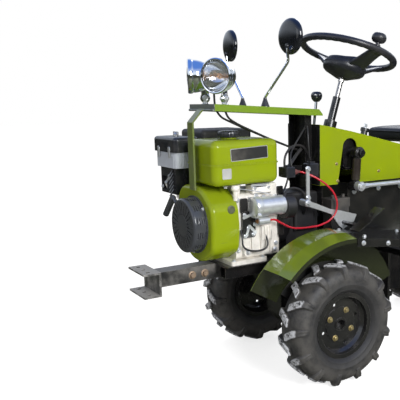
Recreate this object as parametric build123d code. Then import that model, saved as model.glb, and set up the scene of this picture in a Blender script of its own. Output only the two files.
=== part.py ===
"""Articulated mini tractor with four equal driven wheels, hinged in the middle.

Sizes are in millimetres. X points to the machine's left, Y to its rear, Z up. Places along the
machine are measured back from the front axle. The origin is on the ground at the middle of the
length, so every piece is moved by `to_origin` as it is written.
"""
from build123d import *
import math
import os

os.makedirs("parts", exist_ok=True)

# Driving dimensions of the machine
wheelbase = 900
front_reach = 600  # front axle to the lip of the front tool bracket
rear_reach = 300  # rear axle to the lip of the rear tool bracket
track = 547  # between the middles of the left and right tyres
tyre_radius = 213  # over the lugs
pivot_y = wheelbase / 2  # frame hinge, behind the front axle
to_origin = Pos(0, (front_reach - wheelbase - rear_reach) / 2, 0)

# Clearances
running_gap = 0.05  # radial, shaft in bearing
seat_gap = 0.3  # between pieces that only sit beside each other
beyond = 1500  # past every piece, for cuts

# Tyres and rims
tyre_width = 128
lug_height = 13
lug_count = 13  # on each side of the tread
lug_half_width = 13  # along the tread
lug_overlap = 5  # past the middle of the tread
lug_rise = 0.72  # travel along the tread for each unit across it
lug_shoulder = 30  # from the tread down to the lug's outer corner
lug_tail = 48  # from the tread down to where the lug meets the sidewall
bead_radius = 101.6
bead_half_width = 36
tyre_belly_radius = 158
tyre_shoulder_half_width = 46
tyre_flats = 2 * lug_count
rim_sheet = 3
rim_half_width = 43  # to the inner faces of its lips
rim_lip_radius = 114
rim_well_radius = 90
rim_well_half_width = 14
disc_offset = 19  # disc's outer face, outboard of the tyre's middle
disc_sheet = 6
vent_count = 4
vent_radius = 6
vent_circle = 72
vent_start = 17.5  # first vent, in degrees up from the rear
hub_flange_radius = 60
hub_radius = 23
hub_stand_out = 8  # hub end, outboard of the disc
hub_length = 62
hex_across_flats = 32
half_shaft_radius = 17

# Axle casings, one under each frame
axle_tube_radius = 32
axle_flange_radius = 46
axle_flange = 10
axle_gap = 5  # hub end to casing flange
bearing_depth = 40
drive_case_radius = 78
drive_case_half_width = 48

# Frame rails
rail_size = 40
rail_half_gap = 60  # middle plane to a rail's inner face
rail_top = 420
rail_wall = 3
front_rail_start = -330
yoke_plate = 10
yoke_reach = 45  # hinge axis to the plates of either half
yoke_width = 90
yoke_low = 165
yoke_high = 395
hinge_pin_radius = 16
hinge_barrel_radius = 32
rear_rail_start = pivot_y + 100

# Engine, with its crank along Y
crank_z = 558
engine_foot_z = rail_top + 4
foot_half_width = 114
foot_y = (-311, -173)
crankcase_half_width = 100
crankcase_y = (-287, -105)
crankcase_z = (438, 660)
side_cover_radius = 92
side_cover = 18
housing_radius = 127
housing_y = (-385, -287)
housing_corner = 44  # rounding of the flat near side, seen from the front
housing_flat_x = 122
housing_flat_z = (462, 648)
recoil_radius = 91
recoil_face_y = -432
recoil_slots = 24
recoil_slot_radii = (36, 78)
recoil_side_rows = 12
recoil_side_slots = 4  # in each row, along the depth
pull_handle_radius = 11
pull_handle_ends = ((-104, 640), (-172, 572))
cylinder_lean = 25
tank_x = (-82, 115)
tank_y = (-369, -119)
tank_z = (690, 838)
tank_corner = 24
tank_seam_z = 759
tank_seam = 4  # how far the seam stands out, and half its thickness
cap_radius = 34
cap_height = 26
cap_place = (10, -255)
air_box_x = (-288, -104)
air_box_y = (-402, -304)
air_box_z = (735, 790)
air_cover_top = 842
carburettor_z = (640, 735)
muffler_x = (-290, -112)
muffler_y = (-292, -90)
muffler_z = (704, 864)
muffler_slots = 7
starter_radius = 32
starter_y = (-238, -122)
starter_z = 616
starter_flange = 22
solenoid_radius = 13
solenoid_y = (-218, -176)
solenoid_z = 567
solenoid_gap = 28  # crankcase side to the solenoid's axis
drum_radius = 40

# Front beam and tool brackets
beam_width = 60
beam_height = 50
beam_wall = 4
beam_end_y = -100
bracket_width = 134
bracket_depth = 52
bracket_height = 80
bracket_sheet = 6
bracket_top = rail_top + 10
bracket_holes = 3
bracket_hole_radius = 7
bracket_hole_pitch = 42
bracket_hole_inset = 24

# Upper works
tray_half_width = 90
tray_y = (-344, 84)
tray_front_z = 953
tray_slope = 3.2
tray_sheet = 2
tray_flange = 22
tray_corner = 17  # bevel of the rear edge
front_post_width = 38
front_post_sheet = 6
rear_post_half_width = 52
rear_post_y = (32, 60)
rear_post_sheet = 4
console_half_width = 100
console_y = (62, wheelbase - 400)
console_z = 660
console_front_top = 877
console_bend = (200, 850)
console_rear_top = 780
console_sheet = 2.5
tunnel_half_width = 98
console_slot_y = (142, 226)  # at the bottom
console_arch = (197, 792)
console_arch_radius = 32.5
tunnel_y = (190, wheelbase - 420)
tunnel_sheet = 3

# Lamps and mirrors
lamp_radius = 57
lamp_length = 92
lens_dome = 8
mirror_foot = (75, -147)
mirror_head = (200, -124, 1159)
mirror_bend_z = (972, 1085)
lamp_table = (  # side, place of the lens's middle, turn about the upright axis
    ("left", (60, -338, 1041), 30),
    ("right", (-60, -345, 1044), -12),
)
lamp_gland_y = 72  # behind the lens
lamp_cable_radius = 3.5
mirror_half_width = 61
mirror_half_height = 53

# Steering
column_lean = 17.9
column_foot = (186, 880)
column_radius = 8.5
wheel_hub_along = 168  # column foot to the steering wheel's hub, along the column
sleeve_radius = 14.5
sleeve_length = 96
steering_radius = 173
steering_grip = 13
steering_dish = 97  # hub's lower face to the middle of the rim
steering_hub_radius = 70
steering_hub_height = 64
spoke_angles = (0, 90, 180)  # from the left, towards the driver
spoke_width = 52
spinner_radius = 22
spinner_angle = -4
arm_pivot = (215, 772)
arm_ball = (207, 652)
arm_boss_radius = 22
arm_boss_length = 30
arm_boss_step = 2  # the lower boss is shorter by this
arm_tube_radius = 13
arm_gap = 6  # console's side to the arm's bosses
link_radius = 8
link_eye_radius = 17
link_eye_length = 22
link_stud_half_height = 13
link_end_y = pivot_y

# Fenders, footboards and seat
fender_radius = 338  # over the flat top
fender_crease_x = 286
fender_edge_radius = 326  # at the outer edge
fender_centre_z = 188
fender_inner_x = 198
fender_width = 147
fender_sheet = 2
fender_front_angle = 136
fender_rear_angle = 22
plate_inner = 225
fender_lip = 14
fender_arm = 30
board_y = (34, wheelbase - 480)
board_front_z = 512
board_slope = 7.5
board_sheet = 4
board_flange = 26
seat_y = (wheelbase - 376, wheelbase + 30)
seat_half_width = 205
seat_z = 792
seat_thickness = 56
seat_back_thickness = 50
seat_back_height = 270
pedestal_half_width = 90
pedestal_y = (wheelbase - 275, wheelbase - 100)


def block(x, y, z):
    """A box between two places on each axis."""
    size = (x[1] - x[0], y[1] - y[0], z[1] - z[0])
    return Pos((x[0] + x[1]) / 2, (y[0] + y[1]) / 2, (z[0] + z[1]) / 2) * Box(*size)


def rod_x(radius, x, y, z):
    """A round bar along X."""
    return Pos((x[0] + x[1]) / 2, y, z) * Rot(0, 90, 0) * Cylinder(radius, x[1] - x[0])


def rod_y(radius, x, y, z):
    """A round bar along Y."""
    return Pos(x, (y[0] + y[1]) / 2, z) * Rot(90, 0, 0) * Cylinder(radius, y[1] - y[0])


def rod_z(radius, x, y, z):
    """An upright round bar."""
    return Pos(x, y, (z[0] + z[1]) / 2) * Cylinder(radius, z[1] - z[0])


def side_face(points, x):
    """A face in the plane at x, from points (y, z)."""
    outline = Polyline(*[(x, y, z) for y, z in points], close=True)
    return make_face(outline)


def side_plate(points, x):
    """A solid between x[0] and x[1] whose side view is the outline of points (y, z)."""
    return extrude(side_face(points, x[0]), x[1] - x[0], dir=(1, 0, 0))


def bent_bar(points, radius):
    """A round bar along points, with the bends as large as the runs allow."""
    path = FilletPolyline(*points, radius=bend_radii(points))
    return sweep(Plane(path @ 0, z_dir=path % 0) * Circle(radius), path)


def bend_radii(points):
    """For each corner, 0.45 of the shorter run over the tangent of half the turn."""
    corners = [Vector(*p) for p in points]
    radii = []
    for before, corner, after in zip(corners, corners[1:], corners[2:]):
        run_in = corner - before
        run_out = after - corner
        half_turn = math.radians(run_in.get_angle(run_out)) / 2
        radii.append(0.45 * min(run_in.length, run_out.length) / math.tan(half_turn))
    return radii


def other_side(shape):
    return mirror(shape, about=Plane.YZ)


def save(name, *shapes):
    solids = [s for shape in shapes for s in shape.solids()]
    export_step(to_origin * Compound(children=solids), f"parts/{name}.step")


# Wheels: a lugged tyre on a two-piece pressed rim with a flat disc, bolted to a hexagon hub
def make_lug():
    """One bar of the tread's left half: from the middle, slanting out and down the shoulder."""
    half = tyre_width / 2 - 1
    bend = tyre_shoulder_half_width - 6
    rise = bend * lug_rise
    back = lug_half_width + rise / 2  # so that the bar lies evenly about its own middle
    top = [
        (-lug_overlap, -back),
        (bend, rise - back),
        (half, rise - back + 4),
        (half, rise - back + 2 * lug_half_width),
        (bend - 8, rise - back + 2 * lug_half_width - 6),
        (-lug_overlap, 2 * lug_half_width - back),
    ]
    flat_top = math.sqrt(tyre_radius**2 - back**2)
    side = [
        (-lug_overlap - 1, tyre_radius - lug_height - 12),
        (-lug_overlap - 1, flat_top),
        (tyre_shoulder_half_width, flat_top),
        (half, tyre_radius - lug_shoulder),
        (half - 6, tyre_radius - lug_tail),
        (bend, tyre_radius - lug_tail + 10),
    ]
    column = Polyline(*[(x, y, tyre_belly_radius) for x, y in top], close=True)
    column = extrude(make_face(column), tyre_radius - tyre_belly_radius, dir=(0, 0, 1))
    side = Polyline(*[(x, -tyre_width, z) for x, z in side], close=True)
    lug = column & extrude(make_face(side), 2 * tyre_width, dir=(0, 1, 0))
    corner_angle = math.degrees(math.atan2(back, flat_top))
    return lug.solid(), corner_angle


def make_tyre():
    """The carcass has one flat under each lug, so that the four tyres stay light."""
    carcass_radius = tyre_radius - lug_height
    half = tyre_width / 2
    profile = [
        (-bead_half_width, bead_radius),
        (-half, tyre_belly_radius),
        (-tyre_shoulder_half_width, carcass_radius),
        (tyre_shoulder_half_width, carcass_radius),
        (half, tyre_belly_radius),
        (bead_half_width, bead_radius),
    ]
    slab = make_face(Polyline(*[(x, 0, z) for x, z in profile], close=True))
    slab = extrude(slab, tyre_width / 2, both=True, dir=(0, 1, 0))
    reach = 1.5 * tyre_radius
    spread = reach * math.tan(math.pi / tyre_flats)
    wedge = make_face(Polyline((0, 0, 0), (0, spread, reach), (0, -spread, reach), close=True))
    flat = (slab & extrude(wedge, tyre_width, both=True, dir=(1, 0, 0))).solid()
    lug, corner_angle = make_lug()
    pitch = 360 / lug_count
    pieces = [Rot(n * 360 / tyre_flats, 0, 0) * flat for n in range(tyre_flats)]
    for n in range(lug_count):
        pieces.append(Rot(n * pitch, 0, 0) * lug)
        pieces.append(Rot((n + 0.5) * pitch, 0, 0) * other_side(lug))
    tyre = pieces[0].fuse(*pieces[1:]).clean()
    return Rot(180 - corner_angle, 0, 0) * tyre  # a lug's corner touches the ground


def make_rim():
    half = rim_half_width
    outline = [
        (-half, rim_lip_radius),
        (-half, bead_radius),
        (-rim_well_half_width - 12, bead_radius),
        (-rim_well_half_width, rim_well_radius),
        (rim_well_half_width, rim_well_radius),
        (rim_well_half_width + 12, bead_radius),
        (half, bead_radius),
        (half, rim_lip_radius),
    ]
    inner = [
        (-half - rim_sheet, rim_lip_radius),
        (-half - rim_sheet, bead_radius - rim_sheet),
        (-rim_well_half_width - 12 - rim_sheet, bead_radius - rim_sheet),
        (-rim_well_half_width - 1, rim_well_radius - rim_sheet),
        (rim_well_half_width + 1, rim_well_radius - rim_sheet),
        (rim_well_half_width + 12 + rim_sheet, bead_radius - rim_sheet),
        (half + rim_sheet, bead_radius - rim_sheet),
        (half + rim_sheet, rim_lip_radius),
    ]
    barrel = revolve(make_face(Polyline(*outline, *reversed(inner), close=True)), Axis.X)
    disc = rod_x(rim_well_radius - 1, (disc_offset - disc_sheet, disc_offset), 0, 0)
    disc += rod_x(hub_flange_radius, (disc_offset, disc_offset + 4), 0, 0)
    for n in range(vent_count):
        vent = Pos(0, vent_circle, 0) * Rot(0, 90, 0) * Cylinder(vent_radius, 100)
        disc -= Rot(vent_start + n * 360 / vent_count, 0, 0) * vent
    hub_end = disc_offset + hub_stand_out
    hub = rod_x(hub_radius, (hub_end - hub_length, hub_end), 0, 0)
    shaft_start = hub_end - hub_length - axle_gap - bearing_depth
    shaft = rod_x(half_shaft_radius, (shaft_start, hub_end - hub_length), 0, 0)
    hexagon = Pos(hub_end - 25, 0, 0) * Rot(0, 90, 0) * extrude(
        RegularPolygon(hex_across_flats / 2, 6, major_radius=False), 25
    )
    return barrel + disc + hub + shaft - hexagon


tyre_shape = make_tyre()
rim_shape = make_rim()
for end, axle_y in (("front", 0), ("rear", wheelbase)):
    for side, hand in (("left", 1), ("right", -1)):
        place = Pos(hand * track / 2, axle_y, tyre_radius)
        tyre = tyre_shape if hand == 1 else other_side(tyre_shape)
        rim = rim_shape if hand == 1 else other_side(rim_shape)
        save(f"tyre_{end}_{side}", place * tyre)
        save(f"rim_{end}_{side}", place * rim)


# Axle casings: a cast drive case in the middle, with a flanged tube out to each hub
def make_axle(axle_y):
    hub_inner_x = track / 2 + disc_offset + hub_stand_out - hub_length
    flange_end = hub_inner_x - axle_gap
    case = rod_x(
        drive_case_radius, (-drive_case_half_width, drive_case_half_width), axle_y, tyre_radius
    )
    case += block(
        (-drive_case_half_width, drive_case_half_width),
        (axle_y - drive_case_radius, axle_y + drive_case_radius),
        (tyre_radius, rail_top - rail_size),
    )
    tube = rod_x(axle_tube_radius, (-flange_end, flange_end), axle_y, tyre_radius)
    for hand in (-1, 1):
        ends = sorted((hand * flange_end, hand * (flange_end - axle_flange)))
        tube += rod_x(axle_flange_radius, ends, axle_y, tyre_radius)
        ends = sorted((hand * drive_case_half_width, hand * (drive_case_half_width + 14)))
        tube += rod_x(axle_flange_radius + 12, ends, axle_y, tyre_radius)
    bore = half_shaft_radius + running_gap
    axle = case + tube
    for hand in (-1, 1):
        hanger_x = sorted((hand * (rail_half_gap + 8), hand * (rail_half_gap + rail_size - 8)))
        hanger_y = (axle_y - axle_tube_radius, axle_y + axle_tube_radius)
        axle += block(hanger_x, hanger_y, (tyre_radius, rail_top - rail_size))
    for hand in (-1, 1):
        ends = sorted((hand * flange_end, hand * (flange_end - bearing_depth - 2)))
        axle -= rod_x(bore, ends, axle_y, tyre_radius)
    return axle


save("front_axle", make_axle(0))
save("rear_axle", make_axle(wheelbase))


# Front frame: two square rails, the engine plate, and the yoke of the frame hinge
def rail(x, y):
    outer = block(x, y, (rail_top - rail_size, rail_top))
    inner = block(
        (x[0] + rail_wall, x[1] - rail_wall),
        (y[0] - 1, y[1] + 1),
        (rail_top - rail_size + rail_wall, rail_top - rail_wall),
    )
    return outer - inner


def yoke_tongue(z, y_from):
    """A hinge plate, square at the frame and round about the pin."""
    flat = block((-yoke_width / 2, yoke_width / 2), sorted((y_from, pivot_y)), z)
    return flat + rod_z(yoke_width / 2, 0, pivot_y, z)


def fender_arms(axle_y):
    """Square bars across the rails, out to the inner plates of both fenders."""
    y = (axle_y - fender_arm / 2, axle_y + fender_arm / 2)
    arm = block((rail_half_gap, fender_inner_x), y, (rail_top, rail_top + fender_arm))
    return arm + other_side(arm)


rail_x = (rail_half_gap, rail_half_gap + rail_size)
yoke_y = (pivot_y - yoke_reach - yoke_plate, pivot_y - yoke_reach)
frame_width = (-rail_half_gap - rail_size, rail_half_gap + rail_size)
front_rail = rail(rail_x, (front_rail_start, yoke_y[0]))
front_frame = front_rail + other_side(front_rail)
engine_plate_x = (-foot_half_width - 8, foot_half_width + 8)
engine_plate_y = (front_rail_start, foot_y[1] + 20)
front_frame += block(engine_plate_x, engine_plate_y, (rail_top, engine_foot_z))
front_frame += block(frame_width, yoke_y, (yoke_low, rail_top))
front_frame += yoke_tongue((yoke_low, yoke_low + yoke_plate), yoke_y[1])
front_frame += yoke_tongue((yoke_high - yoke_plate, yoke_high), yoke_y[1])
front_frame += rod_z(hinge_pin_radius, 0, pivot_y, (yoke_low - 8, yoke_high + 8))
front_frame += fender_arms(0)
save("front_frame", front_frame)

# Rear frame: the hinge barrel between the yoke's plates, a boxed neck and two square rails
barrel_z = (yoke_low + yoke_plate + 1, yoke_high - yoke_plate - 1)
neck_y = (pivot_y + hinge_barrel_radius - 8, rear_rail_start - yoke_plate)
rear_end = wheelbase + rear_reach
rear_frame = rod_z(hinge_barrel_radius, 0, pivot_y, barrel_z)
rear_frame += block((-26, 26), neck_y, (barrel_z[0] + 12, barrel_z[1] - 12))
rear_frame += block(frame_width, (rear_rail_start - yoke_plate, rear_rail_start), (yoke_low, rail_top))
rear_rail_end = rear_end - bracket_depth - beam_width
rear_rail = rail(rail_x, (rear_rail_start, rear_rail_end))
rear_frame += rear_rail + other_side(rear_rail) + fender_arms(wheelbase)
rear_cross_y = (rear_rail_end, rear_end - bracket_depth - bracket_sheet)
rear_frame += block(frame_width, rear_cross_y, (rail_top - beam_height, rail_top))
rear_frame -= rod_z(hinge_pin_radius + running_gap, 0, pivot_y, (yoke_low, yoke_high))
save("rear_frame", rear_frame)


# Tool brackets: a channel lying on its back, with three pin holes through each flange
def make_bracket(lip_y, toward):
    """The channel opens away from the machine: toward is -1 at the front and 1 at the rear."""
    back_y = lip_y - toward * bracket_depth
    width = (-bracket_width / 2, bracket_width / 2)
    z_low = bracket_top - bracket_height
    bracket = block(width, sorted((back_y, back_y - toward * bracket_sheet)), (z_low, bracket_top))
    for z in ((bracket_top - bracket_sheet, bracket_top), (z_low, z_low + bracket_sheet)):
        bracket += block(width, sorted((lip_y, back_y)), z)
    hole_y = lip_y - toward * bracket_hole_inset
    for n in range(bracket_holes):
        hole_x = (n - (bracket_holes - 1) / 2) * bracket_hole_pitch
        bracket -= rod_z(bracket_hole_radius, hole_x, hole_y, (z_low - 1, bracket_top + 1))
    return bracket


save("front_bracket", make_bracket(-front_reach, -1))
save("rear_bracket", make_bracket(rear_end, 1))
beam_y = (-front_reach + bracket_depth + bracket_sheet, beam_end_y)
beam_z = (rail_top - beam_height, rail_top)
beam = block((-beam_width / 2, beam_width / 2), beam_y, beam_z)
beam -= block(
    (-beam_width / 2 + beam_wall, beam_width / 2 - beam_wall),
    (beam_y[0] - 1, beam_y[1] + 1),
    (beam_z[0] + beam_wall, beam_z[1] - beam_wall),
)
save("front_beam", beam)


# Engine: cast crankcase on its foot, with a domed side cover on the drive side
def make_crankcase():
    half = crankcase_half_width
    body_y = (crankcase_y[0], crankcase_y[1] - side_cover)
    case = block((-half, half), body_y, crankcase_z)
    case = fillet(case.edges().filter_by(Axis.Y), 16)
    case += rod_y(side_cover_radius, 0, (body_y[1], crankcase_y[1]), crank_z)
    case += block((-half + 20, half - 20), (body_y[1], crankcase_y[1]), (crankcase_z[0], crank_z))
    foot = block((-foot_half_width, foot_half_width), foot_y, (engine_foot_z, crankcase_z[0]))
    case += fillet(foot.edges().filter_by(Axis.Z), 8)
    for rib_y in (-262, -226, -190, -154):
        rib_x = (half, half + 7)
        case += block(rib_x, (rib_y - 3, rib_y + 3), (crankcase_z[0] + 16, crank_z - 30))
    case += rod_x(15, (half, half + 16), -250, crankcase_z[0] + 26)
    case += rod_x(9, (half, half + 10), -140, crankcase_z[0] + 22)
    for tank_foot_y in (tank_y[0] + 100, tank_y[1] - 20):
        foot_x = (tank_x[0] + 12, tank_x[1] - 25)
        case += block(foot_x, (tank_foot_y - 8, tank_foot_y + 8), (crankcase_z[1], tank_z[0]))
    return case


save("crankcase", make_crankcase())

# Cylinder and head: a stack of fins that leans over to the machine's right
cylinder_y = sum(crankcase_y) / 2 - 20
cylinder_tilt = Pos(0, cylinder_y, crank_z) * Rot(0, -90 + cylinder_lean, 0)
barrel_size = (84, 96)
fin_size = (122, 132)
fin_sheet = 3
fin_pitch = 10
fin_count = 9
fin_start = 124
head_size = (104, 116)
head_height = 30


def make_cylinder():
    fins_end = fin_start + fin_count * fin_pitch
    middle = (fin_start + fins_end) / 2
    body = Pos(0, 0, middle) * Box(*barrel_size, fins_end - fin_start + 40)
    for n in range(fin_count):
        fin = Box(*fin_size, fin_sheet)
        body += Pos(0, 0, fin_start + n * fin_pitch) * fillet(fin.edges().filter_by(Axis.Z), 14)
    head = Pos(0, 0, fins_end + head_height / 2) * Box(*head_size, head_height)
    body = cylinder_tilt * (body + fillet(head.edges().group_by(Axis.Z)[-1], 8))
    everywhere = (-beyond, beyond)
    body -= block((-crankcase_half_width - 0.2, beyond), everywhere, everywhere)
    return body - block(everywhere, everywhere, (tank_z[0] - 4, beyond))


save("cylinder", make_cylinder())


# Fan housing: pressed cover round the flywheel, flat on the near side
def make_housing():
    circles = [
        Circle(housing_radius),
        Pos(housing_flat_x - housing_corner, housing_flat_z[0] + housing_corner - crank_z)
        * Circle(housing_corner),
        Pos(housing_flat_x - housing_corner, housing_flat_z[1] - housing_corner - crank_z)
        * Circle(housing_corner),
        Pos(-70, 62) * Circle(64),
    ]
    edges = [edge for circle in circles for edge in circle.edges()]
    face = Plane((0, housing_y[1], crank_z), x_dir=(1, 0, 0), z_dir=(0, -1, 0)) * make_hull(edges)
    housing = extrude(face, housing_y[1] - housing_y[0], dir=(0, -1, 0))
    housing = fillet(housing.edges().group_by(Axis.Y)[0], 14)
    plug = rod_x(14, (housing_flat_x - 4, housing_flat_x + 1), -312, 615)
    foot_room = block((-200, 200), (foot_y[0] - seat_gap, 0), (0, crankcase_z[0] + seat_gap))
    return housing - plug - foot_room


save("fan_housing", make_housing())


# Recoil starter: slotted cap over the pull rope's reel, with a T handle on its upper right
def make_recoil():
    depth = (recoil_face_y, housing_y[0])
    cap = rod_y(recoil_radius, 0, depth, crank_z)
    cap = fillet(cap.edges().group_by(Axis.Y)[0], 9)
    cap += rod_y(recoil_radius + 6, 0, (depth[1] - 4, depth[1]), crank_z)
    slot_middle = sum(recoil_slot_radii) / 2
    slot_length = recoil_slot_radii[1] - recoil_slot_radii[0]
    for n in range(recoil_slots):
        turn = Pos(0, recoil_face_y, crank_z) * Rot(0, n * 360 / recoil_slots, 0)
        cap -= turn * Pos(slot_middle, 0, 0) * Box(slot_length, 10, 5)
    for row in range(recoil_side_rows):
        turn = Pos(0, recoil_face_y, crank_z) * Rot(0, (row + 0.5) * 360 / recoil_side_rows, 0)
        for n in range(recoil_side_slots):
            cap -= turn * Pos(recoil_radius, 14 + n * 8, 0) * Box(8, 4, 24)
    (top_x, top_z), (low_x, low_z) = pull_handle_ends
    handle_y = sum(depth) / 2 - 6
    line = Line((top_x, handle_y, top_z), (low_x, handle_y, low_z))
    handle = sweep(Plane(line @ 0, z_dir=line % 0) * Circle(pull_handle_radius), line)
    guide = Line((-62, handle_y, 612), (top_x, handle_y, top_z))
    guide = sweep(Plane(guide @ 0, z_dir=guide % 0) * Circle(7), guide)
    return cap + handle + guide


save("recoil_starter", make_recoil())


# Fuel tank: two pressed halves with a seam round the middle, and a screw cap
def make_tank():
    shell = fillet(block(tank_x, tank_y, tank_z).edges(), tank_corner)
    seam = block(
        (tank_x[0] - tank_seam, tank_x[1] + tank_seam),
        (tank_y[0] - tank_seam, tank_y[1] + tank_seam),
        (tank_seam_z - tank_seam / 2, tank_seam_z + tank_seam / 2),
    )
    shell += fillet(seam.edges().filter_by(Axis.Z), tank_corner + tank_seam)
    cap_base = tank_z[1] - 1
    shell += rod_z(cap_radius - 7, *cap_place, (cap_base, cap_base + 8))
    cap = rod_z(cap_radius, *cap_place, (cap_base + 8, cap_base + cap_height))
    return shell + fillet(cap.edges().group_by(Axis.Z)[-1], 5)


save("fuel_tank", make_tank())

# Air cleaner and muffler stand side by side over the cylinder, on the machine's right
air_cover = block(air_box_x, air_box_y, (air_box_z[1], air_cover_top))
air_cover = fillet(air_cover.edges().filter_by(Axis.Z), 16)
air_cover = fillet(air_cover.edges().group_by(Axis.Z)[-1], 12)
save("air_cleaner_cover", air_cover)
air_box = block(
    (air_box_x[0] + 8, air_box_x[1] - 8), (air_box_y[0] + 6, air_box_y[1] - 6), air_box_z
)
save("air_cleaner_box", fillet(air_box.edges().filter_by(Axis.Z), 14))
carburettor_y = (air_box_y[0] + 20, muffler_y[0] - 2)
carburettor = block((air_box_x[0] + 14, air_box_x[1] - 40), carburettor_y, carburettor_z)
carburettor -= block((air_box_x[0] + 22, air_box_x[0] + 62), (air_box_y[0], air_box_y[0] + 34), (652, 700))
intake_y = (carburettor_y[1], cylinder_y - head_size[1] / 2 - seat_gap)
carburettor += rod_y(16, -206, intake_y, 662)
save("carburettor", carburettor)
muffler = fillet(block(muffler_x, muffler_y, muffler_z).edges(), 14)
for n in range(muffler_slots):
    slot_y = muffler_y[0] + 28 + n * (muffler_y[1] - muffler_y[0] - 56) / (muffler_slots - 1)
    side_slot_z = (muffler_z[0] + 26, muffler_z[1] - 24)
    muffler -= block((muffler_x[0] - 1, muffler_x[0] + 5), (slot_y - 4, slot_y + 4), side_slot_z)
    top_slot_x = (muffler_x[0] + 30, muffler_x[1] - 30)
    muffler -= block(top_slot_x, (slot_y - 4, slot_y + 4), (muffler_z[1] - 5, muffler_z[1] + 1))
muffler += rod_z(18, -186, -225, (tank_z[0] - 4, muffler_z[0] + 2))
save("muffler", muffler)


# Electric starter with its solenoid, bolted along the near side of the crankcase
def make_starter():
    axis_x = crankcase_half_width + starter_radius
    motor = rod_y(starter_radius, axis_x, starter_y, starter_z)
    motor += rod_y(starter_radius + 3, axis_x, (starter_y[0], starter_y[0] + starter_flange), starter_z)
    motor -= block((-beyond, crankcase_half_width), (-beyond, beyond), (-beyond, beyond))
    solenoid_x = crankcase_half_width + solenoid_gap
    motor += block(
        (crankcase_half_width, solenoid_x), (-210, -184), (solenoid_z, starter_z)
    )
    motor += rod_y(solenoid_radius, solenoid_x, solenoid_y, solenoid_z)
    return motor


save("starter_motor", make_starter())

# Gearbox between the engine and the front axle, bolted between the rails
bell_radius = 104
bell_y = (crankcase_y[1], -60)
gearbox_y = (-60, 78)
gearbox_top = 640


def make_gearbox():
    bell = rod_y(bell_radius, 0, bell_y, crank_z)
    bell = fillet(bell.edges().group_by(Axis.Y)[-1], 12)
    box = block((-rail_half_gap, rail_half_gap), gearbox_y, (rail_top - rail_size, gearbox_top))
    box = fillet(box.edges().group_by(Axis.Z)[-1], 12)
    drum_x = crankcase_half_width + starter_radius + 2
    drum = rod_y(drum_radius, drum_x, (starter_y[1] + seat_gap, -82), starter_z - 8)
    drum = fillet(drum.edges().group_by(Axis.Y)[-1], 8)
    web = block((60, drum_x), (bell_y[0] + 8, -84), (starter_z - 26, starter_z - 2))
    box += fillet(block((20, rail_half_gap + 12), (-30, 60), (500, 600)).edges().group_by(Axis.X)[-1], 8)
    return bell + box + drum + web


save("gearbox", make_gearbox())


# Upper works: sheet tray over the engine, its two posts, lamps and mirrors
tray_place = Pos(0, tray_y[0], tray_front_z) * Rot(-tray_slope, 0, 0)
under_tray_top = tray_place * block((-beyond, beyond), (-beyond, beyond), (-beyond, 0))
over_tray_sheet = tray_place * block((-beyond, beyond), (-beyond, beyond), (-tray_sheet, beyond))
tray_length = tray_y[1] - tray_y[0]


def tray_block(inset, low):
    """The tray's outside, or the room inside its sheet, with the rear edge bevelled."""
    half = tray_half_width - inset
    shape = block((-half, half), (inset, tray_length - inset), (low, -inset))
    rear_top = shape.edges().filter_by(Axis.X).group_by(Axis.Z)[-1].sort_by(Axis.Y)[-1]
    return chamfer(rear_top, tray_corner)


tray = tray_place * (tray_block(0, -tray_flange) - tray_block(tray_sheet, -tray_flange - 1))


def tray_z(y):
    """Height of the tray's top face at y."""
    return tray_front_z - (y - tray_y[0]) * math.tan(math.radians(tray_slope))


post_y = housing_y[0] - front_post_sheet
post_line = [
    (post_y, 674),
    (post_y, 895),
    (post_y + 32, tray_z(-360) - 24),
    (post_y + 60, tray_z(-340) - tray_sheet - 1.5),
]
back_line = [(y + front_post_sheet, z - 1) for y, z in post_line]
front_post = side_plate(post_line + back_line[::-1], (-front_post_width / 2, front_post_width / 2))
front_post -= over_tray_sheet
save("front_post", front_post)
notch_half = front_post_width / 2 + seat_gap
notch_z = (tray_front_z - 2 * tray_flange, tray_front_z - 4)
tray -= block((-notch_half, notch_half), (post_y, tray_y[0] + tray_sheet + 2), notch_z)
for lamp_side, (lamp_x, lamp_y, _), turn in lamp_table:
    gland_x = lamp_x - lamp_gland_y * math.sin(math.radians(turn))
    hole_y = lamp_y + lamp_gland_y * math.cos(math.radians(turn))
    tray -= rod_z(lamp_cable_radius + 2.5, gland_x, hole_y, (tray_front_z - 60, tray_front_z + 60))
save("hood_tray", tray)

rear_post_z = (gearbox_top + seat_gap, tray_z(rear_post_y[0]))
rear_post = block((-rear_post_half_width, rear_post_half_width), rear_post_y, rear_post_z)
rear_post -= block(
    (-rear_post_half_width + rear_post_sheet, rear_post_half_width - rear_post_sheet),
    (rear_post_y[0] - 1, rear_post_y[1] - rear_post_sheet),
    (rear_post_z[0] - 1, rear_post_z[1] + 1),
)
rear_post -= over_tray_sheet
relay_z = (700, 734)
relay_y = (-80, -42)
relay_x = (rear_post_half_width, rear_post_half_width + 40)
rear_post += block((relay_x[0] - rear_post_sheet, relay_x[0]), (relay_y[0], rear_post_y[0]), relay_z)
rear_post += block(relay_x, relay_y, relay_z)
save("rear_post", rear_post)


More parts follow.
